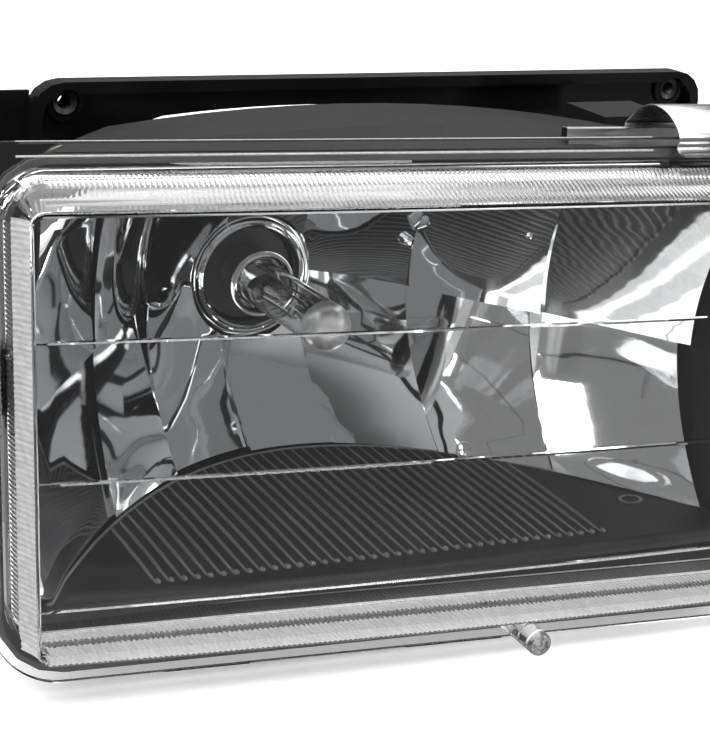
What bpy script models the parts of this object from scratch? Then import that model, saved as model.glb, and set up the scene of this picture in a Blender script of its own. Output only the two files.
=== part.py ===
"""Right-hand composite car headlamp: a tub-shaped clear lens, a lamp housing with its reflector, bezel
and bulb, and the mounting panel on which the whole lamp is aimed by two screws.

Metres, +Z up. The design frame has the bulb's axis along +Y, into the lamp, and its origin where that axis
meets the reflector. At the end everything is moved so that the origin is the centre of the base.
"""

import math

import bmesh
import bpy
from mathutils import Euler, Matrix, Vector

MM = 0.001
GAP = 0.3 * MM  # between pieces that touch

# Lens: a flat face, walls that flare back from it and a flange round the rear.
FACE_HALF = 111 * MM
FACE_TOP = 58.7 * MM
FACE_BOTTOM_LEFT = -53 * MM
FACE_BOTTOM_RIGHT = -57 * MM
FACE_CENTRE = Vector((0, -141 * MM, 0))
SWEEP = math.radians(-6.3)  # the right end stands further forward
RAKE = math.radians(-9.0)  # and so does the bottom
FACE_BOW = 2.8 * MM
LENS_WALL = 2.8 * MM
FLANGE_FRONT = 18 * MM  # depths behind the face
FLANGE_BACK = 21 * MM
FLANGE_GROWTH = 15 * MM  # how far the flange reaches out past the face at the top
SIDE_SHARE = 0.6  # of that at the sides
BOTTOM_SHARE = 0.83  # and at the bottom
LAND_FRONT = 24 * MM
LAND_GROWTH = 12 * MM
PEG_CENTRE = Vector((22.8 * MM, -150 * MM, -60 * MM))
PEG_RADIUS = 3.4 * MM
PEG_LENGTH = 16 * MM

# Reflector: a deep dish that is a shallow parabola across and a steep one up and down.
REFLECTOR_HALF = 104.3 * MM
REFLECTOR_LOW = -47.6 * MM
REFLECTOR_HIGH = 50 * MM
REFLECTOR_WALL = 2.2 * MM
DISH_ACROSS = 138 * MM
DISH_HEIGHT = 48 * MM
DISH_RISE = 37 * MM
SHOULDER_RISE = 20 * MM
SHOULDER_FROM = 18 * MM
SHOULDER_TO = 70 * MM
NECK_FRONT = -6 * MM
NECK_BACK = 16 * MM
NECK_BORE = 18 * MM
NECK_RADIUS = 21.5 * MM

# Bezel: the flat black floor in front of the reflector, its rounded lip and two side walls.
FLOOR_TOP = -48 * MM
FLOOR_THICKNESS = 2 * MM
LIP_DROP = 7 * MM
FLOOR_HALF = 108.2 * MM
LIP_LEFT = Vector((-104 * MM, -117 * MM))
LIP_RIGHT = Vector((109 * MM, -133 * MM))

# Housing.
WALL = 2.5 * MM
REAR_WALL = 3 * MM
REAR_HOLE = 27 * MM
BUCKET_FLOOR = -58 * MM
BASE = -75 * MM
SKID_X = 42 * MM
SKID_WIDTH = 4 * MM
RAIL_NEAR = 42 * MM
RAIL_FAR = 45.2 * MM

# Bulb.
CAPSULE_RADIUS = 7.2 * MM
CAPSULE_TIP = -68 * MM
CAPSULE_BACK = -8.5 * MM
BASE_FRONT = -1.5 * MM
BULB_FLANGE = NECK_BACK + GAP

# Mounting panel and the three points that carry the lamp.
PANEL_BACK = -30 * MM
PANEL_THICKNESS = 2.5 * MM
PANEL_LEFT = -84 * MM
PANEL_RIGHT = 148 * MM
PANEL_TOP = 70.8 * MM
PANEL_LOW = -70 * MM
PANEL_WING = 10 * MM  # how far the plate reaches past the rim on the left
PIVOT = Vector((-73 * MM, -31 * MM, 45 * MM))
VERTICAL_ADJUSTER = Vector((-73 * MM, -47 * MM, -45 * MM))
HORIZONTAL_ADJUSTER = Vector((98 * MM, -67 * MM, 45 * MM))
MOUNT_HOLES = {
    "top_left": (-73.2 * MM, 64.6 * MM),
    "top_right": (137 * MM, 64.6 * MM),
    "bottom_left": (-73.2 * MM, -61 * MM),
    "bottom_right": (137 * MM, -61 * MM),
}

ROUND = 32  # segments of a full turn


# ---------------------------------------------------------------- scene and materials


def clear_scene():
    for obj in list(bpy.data.objects):
        bpy.data.objects.remove(obj, do_unlink=True)


def new_collection(name):
    made = bpy.data.collections.new(name)
    bpy.context.scene.collection.children.link(made)
    return made


def material(name, colour, roughness, metallic=0.0, alpha=1.0):
    made = bpy.data.materials.new(name)
    made.use_nodes = True
    shader = made.node_tree.nodes["Principled BSDF"]
    shader.inputs["Base Color"].default_value = (*colour, 1)
    shader.inputs["Roughness"].default_value = roughness
    shader.inputs["Metallic"].default_value = metallic
    shader.inputs["Alpha"].default_value = alpha
    made.diffuse_color = (*colour, alpha)
    return made


clear_scene()
PARTS = new_collection("car_headlight")
CUTTERS = new_collection("cutters")

CLEAR = material("clear_lens", (0.9, 0.92, 0.93), 0.05, 0, 0.35)
GLASS = material("bulb_glass", (0.85, 0.87, 0.88), 0.03, 0, 0.4)
CHROME = material("reflector_chrome", (0.82, 0.83, 0.85), 0.08, 1.0)
BLACK = material("housing_black", (0.025, 0.025, 0.027), 0.45)
SATIN = material("bezel_black", (0.03, 0.03, 0.032), 0.38)
GLOSS = material("panel_black", (0.015, 0.015, 0.016), 0.2)
RUBBER = material("rubber", (0.02, 0.02, 0.02), 0.8)
STEEL = material("steel", (0.62, 0.63, 0.65), 0.25, 1.0)
NYLON = material("nylon", (0.78, 0.77, 0.72), 0.5)
GREY = material("bulb_base_grey", (0.1, 0.1, 0.105), 0.5)
BRASS = material("terminal", (0.75, 0.62, 0.35), 0.3, 1.0)
WIRE = material("filament_wire", (0.35, 0.35, 0.36), 0.4, 1.0)


# ---------------------------------------------------------------- modelling helpers


def add(name, mesh, finish, where=PARTS):
    obj = bpy.data.objects.new(name, mesh)
    mesh.materials.append(finish)
    where.objects.link(obj)
    return obj


def from_bmesh(name, bm, finish, where=PARTS):
    mesh = bpy.data.meshes.new(name)
    bm.to_mesh(mesh)
    bm.free()
    return add(name, mesh, finish, where)


def box(name, low, high, finish=BLACK, where=PARTS, bevel=0.0):
    """A box between two corners."""
    low, high = Vector(low), Vector(high)
    bm = bmesh.new()
    bmesh.ops.create_cube(bm, size=1)
    bmesh.ops.scale(bm, vec=high - low, verts=bm.verts)
    obj = from_bmesh(name, bm, finish, where)
    obj.location = (low + high) / 2
    if bevel:
        rounded = obj.modifiers.new("edges", "BEVEL")
        rounded.width = bevel
        rounded.segments = 2
    return obj


def rod(name, radius, start, end, finish=BLACK, where=PARTS, sides=ROUND, end_radius=None):
    """A cylinder or cone along +Y from start to end."""
    start, end = Vector(start), Vector(end)
    bm = bmesh.new()
    bmesh.ops.create_cone(
        bm,
        cap_ends=True,
        segments=sides,
        radius1=radius,
        radius2=radius if end_radius is None else end_radius,
        depth=(end - start).length,
    )
    obj = from_bmesh(name, bm, finish, where)
    obj.rotation_euler = (-math.pi / 2, 0, 0)
    obj.location = (start + end) / 2
    return obj


def turned(name, profile, finish, centre=(0, 0, 0), steps=ROUND, where=PARTS):
    """A solid of revolution about a line along +Y through centre.

    profile holds (radius, y) points from the rear (+Y) down the outer side to the front. Where it starts
    or ends off the axis, it is closed back to its first point.
    """
    bm = bmesh.new()
    verts = [bm.verts.new((radius, 0, y)) for radius, y in profile]
    edges = list(zip(verts, verts[1:]))
    if profile[0][0] > 0:
        edges.append((verts[-1], verts[0]))
    for pair in edges:
        bm.edges.new(pair)
    obj = from_bmesh(name, bm, finish, where)
    screw = obj.modifiers.new("turn", "SCREW")
    screw.axis = "Z"
    screw.angle = 2 * math.pi
    screw.steps = steps
    screw.render_steps = steps
    screw.use_merge_vertices = True
    screw.merge_threshold = 0.01 * MM
    screw.use_normal_calculate = False
    obj.rotation_euler = (-math.pi / 2, 0, 0)
    obj.location = centre
    return obj


def wire(name, points, radius, finish):
    """A round wire through points, with closed ends."""
    curve = bpy.data.curves.new(name, "CURVE")
    curve.dimensions = "3D"
    spline = curve.splines.new("POLY")
    spline.points.add(len(points) - 1)
    for point, place in zip(spline.points, points):
        point.co = (*place, 1)
    curve.bevel_depth = radius
    curve.bevel_resolution = 2
    curve.use_fill_caps = True
    curve.materials.append(finish)
    obj = bpy.data.objects.new(name, curve)
    PARTS.objects.link(obj)
    return obj


def change(obj, tool, operation):
    """Joins tool to obj, or cuts it away; tool becomes a hidden cutter."""
    if tool.name in PARTS.objects:
        PARTS.objects.unlink(tool)
        CUTTERS.objects.link(tool)
    tool.hide_render = True
    tool.display_type = "WIRE"
    boolean = obj.modifiers.new(tool.name, "BOOLEAN")
    boolean.operation = operation
    boolean.solver = "EXACT"
    boolean.object = tool


def join(obj, tool):
    change(obj, tool, "UNION")


def cut(obj, tool):
    change(obj, tool, "DIFFERENCE")


# ---------------------------------------------------------------- outlines that the lofts run through

ARC_STEPS = 4
SPAN_STEPS = 10
CHAIN = 2 * ARC_STEPS + SPAN_STEPS + 1  # points along the upper or the lower half


def rounded_ring(left, right, top, low_left, low_right, radius, crown=0.0):
    """Points (across, up) of a rounded rectangle: its upper half from left to right, then its lower half
    back. The bottom may slope and the top may be crowned."""
    across, lift = [], []
    for i in range(ARC_STEPS + 1):
        turn = math.pi / 2 * i / ARC_STEPS
        across.append(left + radius * (1 - math.cos(turn)))
        lift.append(radius * (1 - math.sin(turn)))
    for i in range(1, SPAN_STEPS):
        across.append(left + radius + (right - left - 2 * radius) * i / SPAN_STEPS)
        lift.append(0.0)
    for i in range(ARC_STEPS, -1, -1):
        turn = math.pi / 2 * i / ARC_STEPS
        across.append(right - radius * (1 - math.cos(turn)))
        lift.append(radius * (1 - math.sin(turn)))
    half = (right - left) / 2
    middle = (right + left) / 2
    upper, lower = [], []
    for x, drop in zip(across, lift):
        share = (x - left) / (right - left)
        upper.append((x, top - drop + crown * (1 - ((x - middle) / half) ** 2)))
        lower.append((x, low_left + (low_right - low_left) * share + drop))
    return upper + lower[::-1]


def circle_ring(radius):
    upper = []
    for i in range(CHAIN):
        turn = math.pi * (i + 0.5) / CHAIN
        upper.append((-radius * math.cos(turn), radius * math.sin(turn)))
    return upper + [(x, -z) for x, z in upper[::-1]]


LENS_FRAME = Matrix.Translation(FACE_CENTRE) @ Euler((RAKE, 0, SWEEP)).to_matrix().to_4x4()


def lens_point(across, depth, up):
    """A point given along the lens, behind its face and up it. The face is bowed, the flange is flat."""
    bow = FACE_BOW * ((across / FACE_HALF) ** 2 - 1) * max(0, 1 - depth / FLANGE_FRONT)
    return LENS_FRAME @ Vector((across, depth + bow, up))


def lens_ring(depth, growth, radius):
    """The face's outline, grown outwards by growth at the top and less at the sides and bottom."""
    outline = rounded_ring(
        -FACE_HALF - growth * SIDE_SHARE,
        FACE_HALF + growth * SIDE_SHARE,
        FACE_TOP + growth,
        FACE_BOTTOM_LEFT - growth * BOTTOM_SHARE,
        FACE_BOTTOM_RIGHT - growth * BOTTOM_SHARE,
        radius,
    )
    return [lens_point(across, depth, up) for across, up in outline]


def level_ring(y, outline):
    return [Vector((x, y, z)) for x, z in outline]


def loft(name, rings, finish, close_front=False, loop=False):
    """Skins a list of rings, each given from the front of the lamp to its rear."""
    bm = bmesh.new()
    rows = [[bm.verts.new(point) for point in ring] for ring in rings]
    count = len(rows[0])
    pairs = list(zip(rows, rows[1:]))
    if loop:
        pairs.append((rows[-1], rows[0]))
    for near, far in pairs:
        for i in range(count):
            j = (i + 1) % count
            bm.faces.new((near[i], near[j], far[j], far[i]))
    if close_front:
        front = rows[0]
        for i in range(CHAIN - 1):
            low = count - 1 - i
            bm.faces.new((front[i], front[low], front[low - 1], front[i + 1]))
    return from_bmesh(name, bm, finish)


def shell(obj, thickness, inwards=True):
    solidify = obj.modifiers.new("wall", "SOLIDIFY")
    solidify.thickness = thickness
    solidify.offset = -1 if inwards else 1
    solidify.use_even_offset = True
    solidify.use_quality_normals = True


# ---------------------------------------------------------------- lens and gasket


def make_lens():
    """One closed shell: face, flared and shouldered walls, and the flange that the clips hold."""
    rings = [
        lens_ring(0, 0, 4 * MM),
        lens_ring(7.5 * MM, 4.8 * MM, 8 * MM),
        lens_ring(10 * MM, 7 * MM, 10 * MM),
        lens_ring(13 * MM, 8 * MM, 12 * MM),
        lens_ring(FLANGE_FRONT, 8.6 * MM, 13 * MM),
        lens_ring(FLANGE_FRONT, FLANGE_GROWTH, 21 * MM),
    ]
    lens = loft("lens", rings, CLEAR, close_front=True)
    shell(lens, LENS_WALL)
    join(lens, rod("lens_peg", PEG_RADIUS, PEG_CENTRE - Vector((0, PEG_LENGTH / 2, 0)),
                   PEG_CENTRE + Vector((0, PEG_LENGTH / 2, 0)), CLEAR, sides=20))
    return lens


def make_gasket():
    """The seal between the lens flange and the land round the housing's mouth."""
    front = FLANGE_BACK + GAP
    back = LAND_FRONT - GAP
    inner, outer = 9 * MM, 11.5 * MM
    rings = [
        lens_ring(front, inner, 14 * MM),
        lens_ring(front, outer, 17 * MM),
        lens_ring(back, outer, 17 * MM),
        lens_ring(back, inner, 14 * MM),
    ]
    return loft("lens_gasket", rings, RUBBER, loop=True)


# ---------------------------------------------------------------- reflector


def smooth_step(value, start, end):
    share = min(max((value - start) / (end - start), 0), 1)
    return share * share * (3 - 2 * share)


def dish(x, z):
    """The reflector's front surface: y for a place across and up it."""
    up = z / DISH_HEIGHT
    shoulder = SHOULDER_RISE * smooth_step(abs(x), SHOULDER_FROM, SHOULDER_TO) * max(0, 1 - up * up)
    return -(x * x / DISH_ACROSS + DISH_RISE * up * up + shoulder)


def rim_limit(x, z):
    """The furthest forward that anything may come under the lens."""
    return FACE_CENTRE.y + math.tan(SWEEP) * x - math.tan(RAKE) * z + 8 * MM


def reflector_front(x, z):
    """The dish, stopped short of the lens and of the bezel's lip."""
    return max(dish(x, z), rim_limit(x, z), lip_y(x) + 6 * MM)


def make_reflector():
    columns, rows = 28, 14
    bm = bmesh.new()
    grid = []
    for row in range(rows + 1):
        z = REFLECTOR_LOW + (REFLECTOR_HIGH - REFLECTOR_LOW) * row / rows
        line = []
        for column in range(columns + 1):
            x = REFLECTOR_HALF * (2 * column / columns - 1)
            line.append(bm.verts.new((x, reflector_front(x, z), z)))
        grid.append(line)
    roof = []
    for column in range(columns + 1):
        x = REFLECTOR_HALF * (2 * column / columns - 1)
        front = rim_limit(x, REFLECTOR_HIGH) - 0.5 * MM
        roof.append(bm.verts.new((x, front, REFLECTOR_HIGH + 0.5 * MM)))
    grid.append(roof)
    for low, high in zip(grid, grid[1:]):
        for i in range(columns):
            bm.faces.new((low[i], low[i + 1], high[i + 1], high[i]))
    reflector = from_bmesh("reflector", bm, CHROME)
    shell(reflector, REFLECTOR_WALL)
    join(reflector, rod("neck", NECK_RADIUS, (0, NECK_FRONT, 0), (0, NECK_BACK, 0), CHROME))
    cut(reflector, rod("neck_bore", NECK_BORE, (0, -20 * MM, 0), (0, 30 * MM, 0), CHROME))
    for place in REFLECTOR_SCREWS:
        boss_front = dish(place[0], place[1]) + 1 * MM
        join(reflector, rod("reflector_boss", 4 * MM, (place[0], boss_front, place[1]),
                            (place[0], REAR_WALL - WALL - GAP, place[1]), CHROME, sides=16))
    for place in REFLECTOR_SCREWS:
        cut(reflector, rod("reflector_thread", 1.8 * MM, (place[0], -9 * MM, place[1]),
                           (place[0], 5 * MM, place[1]), CHROME, sides=12))
    return reflector


REFLECTOR_SCREWS = [(-33 * MM, 24 * MM), (33 * MM, 24 * MM), (0, -42 * MM)]


def make_reflector_screws():
    for number, (x, z) in enumerate(REFLECTOR_SCREWS, 1):
        turned(
            f"reflector_screw_{number}",
            [(0, 5.4 * MM), (2.6 * MM, 5.2 * MM), (3.6 * MM, 4.2 * MM), (3.6 * MM, REAR_WALL + GAP),
             (1.5 * MM, REAR_WALL + GAP), (1.5 * MM, -7.5 * MM), (0, -8.3 * MM)],
            STEEL, centre=(x, 0, z), steps=16,
        )


# ---------------------------------------------------------------- bezel


def lip_y(x):
    share = (x - LIP_LEFT.x) / (LIP_RIGHT.x - LIP_LEFT.x)
    return LIP_LEFT.y + (LIP_RIGHT.y - LIP_LEFT.y) * share


def make_bezel():
    """Floor with its rear edge along the reflector's foot, a rounded front lip and two side walls."""
    steps = 28
    inset = 1.8 * MM
    radius = 2.6 * MM
    under = FLOOR_TOP - FLOOR_THICKNESS
    foot = FLOOR_TOP - LIP_DROP
    bm = bmesh.new()
    rows = []
    for i in range(steps + 1):
        x = FLOOR_HALF * (2 * i / steps - 1)
        inside = max(-REFLECTOR_HALF + 0.5 * MM, min(REFLECTOR_HALF - 0.5 * MM, x))
        lip = lip_y(x)
        rear = max(dish(inside, FLOOR_TOP), lip + 6 * MM) - inset
        section = [
            (rear, FLOOR_TOP), (lip + radius, FLOOR_TOP), (lip + 0.3 * radius, FLOOR_TOP - 0.3 * radius),
            (lip, FLOOR_TOP - radius), (lip, foot), (lip + 2 * MM, foot), (lip + 2 * MM, under), (rear, under),
        ]
        rows.append([bm.verts.new((x, y, z)) for y, z in section])
    for near, far in zip(rows, rows[1:]):
        for i in range(len(near)):
            j = (i + 1) % len(near)
            bm.faces.new((near[i], near[j], far[j], far[i]))
    bm.faces.new(rows[0])
    bm.faces.new(rows[-1])
    bmesh.ops.recalc_face_normals(bm, faces=bm.faces)
    bezel = from_bmesh("bezel", bm, SATIN)
    for sign in (-1, 1):
        join(bezel, side_wall(sign))
    return bezel


def side_wall(sign):
    """The upright at one end of the bezel, from the reflector's side edge to the lip."""
    inner = REFLECTOR_HALF + 2.4 * MM
    outer = inner + 1.1 * MM
    low, high = FLOOR_TOP - 1 * MM, REFLECTOR_HIGH
    x = sign * inner
    rear = -106.5 * MM
    front_high = rim_limit(x, high) + 1.5 * MM
    profile = [
        (lip_y(x) + 1 * MM, low), (rear - 2 * MM, low), (rear, -30 * MM), (rear, 20 * MM),
        (max(front_high + 2 * MM, rear - 6 * MM), high), (front_high, high),
    ]
    bm = bmesh.new()
    near = [bm.verts.new((sign * inner, y, z)) for y, z in profile]
    far = [bm.verts.new((sign * outer, y, z)) for y, z in profile]
    bm.faces.new(near)
    bm.faces.new(far)
    for i in range(len(profile)):
        j = (i + 1) % len(profile)
        bm.faces.new((near[i], near[j], far[j], far[i]))
    bmesh.ops.recalc_face_normals(bm, faces=bm.faces)
    return from_bmesh(f"bezel_side_{'left' if sign < 0 else 'right'}", bm, SATIN)


# ---------------------------------------------------------------- housing


def bucket_ring(y, left, right, top, crown, radius):
    return level_ring(y, rounded_ring(-left, right, top, BUCKET_FLOOR, BUCKET_FLOOR, radius, crown))


def make_housing():
    """The lamp's body: a land for the gasket, an arched bucket and a rear wall with the bulb's hole."""
    rings = [
        lens_ring(LAND_FRONT + WALL, LAND_GROWTH, 18 * MM),
        lens_ring(LAND_FRONT + WALL, 5 * MM, 8 * MM),
        bucket_ring(-84 * MM, 108 * MM, 111 * MM, 61 * MM, 6.2 * MM, 12 * MM),
        bucket_ring(-58 * MM, 83.5 * MM, 84 * MM, 61 * MM, 6.8 * MM, 14 * MM),
        bucket_ring(-40 * MM, 63 * MM, 63 * MM, 57 * MM, 4.5 * MM, 14 * MM),
        bucket_ring(-20 * MM, 51 * MM, 51 * MM, 52 * MM, 2 * MM, 16 * MM),
        bucket_ring(REAR_WALL, 46 * MM, 46 * MM, 50 * MM, 0, 16 * MM),
        level_ring(REAR_WALL, circle_ring(REAR_HOLE)),
    ]
    housing = loft("housing", rings, BLACK)
    shell(housing, WALL)
    for tool in clip_rails() + [skid(-1), skid(1)]:
        join(housing, tool)
    for name, place, front in (
        ("pivot", PIVOT, -57.5 * MM),
        ("vertical_adjuster", VERTICAL_ADJUSTER, -57.5 * MM),
        ("horizontal_adjuster", HORIZONTAL_ADJUSTER, -84.8 * MM),
    ):
        back = boss_back(place)
        join(housing, box(f"{name}_boss", (place.x - 7 * MM, front, place.z - 7 * MM),
                          (place.x + 7 * MM, back, place.z + 7 * MM)))
    join(housing, box("top_block", (83.5 * MM, -73 * MM, 53 * MM), (108 * MM, -52 * MM, 65 * MM)))
    for name, place in (("vertical", VERTICAL_ADJUSTER), ("horizontal", HORIZONTAL_ADJUSTER)):
        back = boss_back(place)
        cut(housing, rod(f"{name}_pocket", 5.6 * MM, (place.x, back - 12 * MM, place.z),
                         (place.x, back + 5 * MM, place.z), sides=24))
    cut(housing, rod("pivot_thread", 2.6 * MM, (PIVOT.x, boss_back(PIVOT) - 12 * MM, PIVOT.z),
                     (PIVOT.x, boss_back(PIVOT) + 5 * MM, PIVOT.z), sides=24))
    for x, z in REFLECTOR_SCREWS:
        cut(housing, rod("screw_hole", 2.1 * MM, (x, -3 * MM, z), (x, 6 * MM, z), sides=16))
    return housing


def boss_back(place):
    """Where the rear face of a carrying point's boss lies."""
    return -42 * MM if place.x < 0 else -62 * MM


def lens_box(name, low, high):
    """A box whose corners are given along the lens, behind its face and up it."""
    obj = box(name, low, high)
    obj.matrix_world = LENS_FRAME @ Matrix.Translation((Vector(low) + Vector(high)) / 2)
    return obj


CLIP_LAND = 1 * MM  # how far the rails stand out past the lens flange


def clip_rails():
    """Ledges that the clips' rear feet hook over."""
    top = FACE_TOP + FLANGE_GROWTH + CLIP_LAND
    side = FACE_HALF + FLANGE_GROWTH * SIDE_SHARE + CLIP_LAND
    rails = [lens_box("rail_top", (50 * MM, RAIL_NEAR, 66.5 * MM), (99 * MM, RAIL_FAR, top))]
    for sign in (-1, 1):
        ends = sorted(((106 * sign - 2) * MM, sign * side))
        low, high = SIDE_CLIP_HEIGHT - 16 * MM, SIDE_CLIP_HEIGHT + 16 * MM
        rails.append(lens_box(f"rail_side_{sign}", (ends[0], RAIL_NEAR, low), (ends[1], RAIL_FAR, high)))
    return rails


def skid(sign):
    """A stiffening rib along the underside, which the lamp stands on."""
    x = sign * SKID_X
    return box(f"skid_{sign}", (x - SKID_WIDTH / 2, -104 * MM, BASE),
               (x + SKID_WIDTH / 2, -8 * MM, BUCKET_FLOOR + 1.2 * MM))


def make_neck_seal():
    """Rubber ring between the reflector's neck and the hole in the rear wall."""
    inner = NECK_RADIUS + GAP
    return turned(
        "neck_seal",
        [(inner, REAR_WALL + 4 * MM), (30 * MM, REAR_WALL + 2.6 * MM), (30.5 * MM, REAR_WALL + GAP),
         (REAR_HOLE - 0.6 * MM, REAR_WALL + GAP), (REAR_HOLE - 1 * MM, -0.5 * MM), (inner, -0.5 * MM)],
        RUBBER,
    )


def make_vent_cap():
    """Breather cap low on the rear wall."""
    back = REAR_WALL + GAP
    return turned(
        "vent_cap",
        [(0, back + 10 * MM), (6.2 * MM, back + 9.4 * MM), (7 * MM, back + 8 * MM), (7 * MM, back + 3 * MM),
         (4.5 * MM, back + 2.6 * MM), (4.5 * MM, back), (0, back)],
        RUBBER, centre=(30 * MM, 0, -45 * MM), steps=24,
    )


# ---------------------------------------------------------------- lens clips

CLIP_PROFILE = [  # (depth behind the face, out past the flange's edge), from the rear foot to the front lip
    (45.9, -2.6), (45.9, 1.8), (44.6, 3.2), (41.0, 5.4), (36.0, 7.3), (31.0, 8.0), (26.0, 7.3), (21.5, 5.4),
    (17.8, 2.6), (15.8, -0.4), (16.9, -2.8), (15.2, -4.4), (12.6, -4.9),
]
SIDE_LIP_SHARE = 0.6  # the flange is narrower at the sides, so the lips there reach in less
TOP_CLIP_WIDTH = 26 * MM
SIDE_CLIP_WIDTH = 20 * MM
CLIP_THICKNESS = 0.7 * MM
TOP_CLIP_CENTRE = 84 * MM
TOP_FOOT = -1.9 * MM  # the housing's arch rises under the top clip, so its rear foot reaches in less
SIDE_CLIP_HEIGHT = 12 * MM


def make_clip(name, width, place):
    """A spring strip bent to CLIP_PROFILE; place turns a depth, an outward reach and a place along the
    clip's width into a point. The clip's origin is on its hinge, the rear foot's lower edge."""
    hinge = place(CLIP_PROFILE[0][0] * MM, CLIP_PROFILE[0][1] * MM, 0)
    bm = bmesh.new()
    rows = []
    for along in (-width / 2, width / 2):
        rows.append([bm.verts.new(place(depth * MM, out * MM, along) - hinge) for depth, out in CLIP_PROFILE])
    for i in range(len(CLIP_PROFILE) - 1):
        bm.faces.new((rows[0][i], rows[0][i + 1], rows[1][i + 1], rows[1][i]))
    clip = from_bmesh(name, bm, STEEL)
    clip.location = hinge
    shell(clip, CLIP_THICKNESS)
    clip.modifiers["wall"].offset = 0
    return clip


def make_clips():
    top = FACE_TOP + FLANGE_GROWTH
    side = FACE_HALF + FLANGE_GROWTH * SIDE_SHARE

    def at_top(depth, out, along):
        reach = max(out, TOP_FOOT) if depth > 40 * MM else out
        return LENS_FRAME @ Vector((TOP_CLIP_CENTRE + along, depth, top + reach))

    def side_out(depth, out):
        return out * SIDE_LIP_SHARE if out < 0 and depth < 20 * MM else out

    def at_left(depth, out, along):
        reach = side + side_out(depth, out)
        return LENS_FRAME @ Vector((-reach, depth, SIDE_CLIP_HEIGHT + along))

    def at_right(depth, out, along):
        reach = side + side_out(depth, out)
        return LENS_FRAME @ Vector((reach, depth, SIDE_CLIP_HEIGHT - along))

    make_clip("lens_clip_top", TOP_CLIP_WIDTH, at_top)
    make_clip("lens_clip_left", SIDE_CLIP_WIDTH, at_left)
    make_clip("lens_clip_right", SIDE_CLIP_WIDTH, at_right)


# ---------------------------------------------------------------- bulb


def make_bulb():
    wall = 0.9 * MM
    straight = CAPSULE_TIP + CAPSULE_RADIUS
    outer, inner = [], []
    for i in range(5):
        turn = math.pi / 2 * i / 4
        outer.append((CAPSULE_RADIUS * math.cos(turn), straight - CAPSULE_RADIUS * math.sin(turn)))
        shrink = CAPSULE_RADIUS - wall
        inner.append((shrink * math.cos(turn), straight - shrink * math.sin(turn)))
    outer[-1] = (0, CAPSULE_TIP)
    inner[-1] = (0, CAPSULE_TIP + wall)
    back = CAPSULE_BACK
    turned(
        "bulb_capsule",
        inner[::-1] + [(CAPSULE_RADIUS - wall, back), (CAPSULE_RADIUS, back)] + outer,
        GLASS, steps=24,
    )
    turned(
        "bulb_collar",
        [(7.6 * MM, BASE_FRONT - GAP), (9.6 * MM, BASE_FRONT - GAP), (9.6 * MM, -13 * MM),
         (8.9 * MM, -16 * MM), (7.6 * MM, -16 * MM)],
        STEEL,
    )
    base = turned(
        "bulb_base",
        [(0, 24 * MM), (15.2 * MM, 24 * MM), (15.2 * MM, BULB_FLANGE + 3 * MM), (21.3 * MM, BULB_FLANGE + 3 * MM),
         (21.3 * MM, BULB_FLANGE), (15.6 * MM, BULB_FLANGE), (15.6 * MM, BASE_FRONT), (0, BASE_FRONT)],
        GREY,
    )
    join(base, box("connector_shell", SOCKET_LOW, SOCKET_HIGH, GREY))
    lip = Vector((2 * MM, 0, 2 * MM))
    cut(base, box("connector_cavity", SOCKET_LOW + lip + Vector((0, 14 * MM, 0)),
                  SOCKET_HIGH - lip + Vector((0, 5 * MM, 0)), GREY))
    turned("bulb_o_ring", circle_profile(16.8 * MM, 0.85 * MM, 11 * MM, 12), RUBBER)
    make_filaments()
    make_terminals()


SOCKET_LOW = Vector((-13.5 * MM, 23.2 * MM, -11 * MM))
SOCKET_HIGH = Vector((13.5 * MM, 50 * MM, 5 * MM))


def circle_profile(radius, section, y, sides):
    """A round section for a ring, going down its outer side."""
    points = []
    for i in range(sides):
        turn = math.pi / 2 - 2 * math.pi * i / sides
        points.append((radius + section * math.cos(turn), y + section * math.sin(turn)))
    return points


LOW_FILAMENT = Vector((0, -51 * MM, 1.6 * MM))
HIGH_FILAMENT = Vector((0, -43 * MM, -1.8 * MM))
FILAMENT_LENGTH = 5 * MM
WIRE_START = BASE_FRONT - GAP


def make_filaments():
    """Two straight coil stand-ins and the three wires that carry them."""
    half = Vector((0, FILAMENT_LENGTH / 2, 0))
    for name, centre in (("low_beam_filament", LOW_FILAMENT), ("high_beam_filament", HIGH_FILAMENT)):
        rod(name, 0.6 * MM, centre - half, centre + half, WIRE, sides=12)
    reach = 0.6 * MM + 0.35 * MM + GAP
    low_front = LOW_FILAMENT - half
    high_back = HIGH_FILAMENT + half
    wire("low_beam_lead", [(0, WIRE_START, 4 * MM), (0, low_front.y - 1 * MM, 4 * MM),
                           (0, low_front.y - 1.2 * MM, LOW_FILAMENT.z)], 0.35 * MM, WIRE)
    wire("common_lead", [(3.2 * MM, WIRE_START, 0), (3.2 * MM, LOW_FILAMENT.y + 4 * MM, 0),
                         (reach + 0.4 * MM, LOW_FILAMENT.y + 3.4 * MM, 0)], 0.35 * MM, WIRE)
    wire("high_beam_lead", [(0, WIRE_START, -4.2 * MM), (0, high_back.y + 1.4 * MM, -4.2 * MM),
                            (0, high_back.y + 1.2 * MM, HIGH_FILAMENT.z)], 0.35 * MM, WIRE)


def make_terminals():
    floor = SOCKET_LOW.y + 14 * MM
    middle = (SOCKET_LOW.z + SOCKET_HIGH.z) / 2
    for number, x in enumerate((-7.5 * MM, 0, 7.5 * MM), 1):
        box(f"bulb_terminal_{number}", (x - 2.4 * MM, floor + GAP, middle - 0.4 * MM),
            (x + 2.4 * MM, floor + 12 * MM, middle + 0.4 * MM), BRASS)


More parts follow.
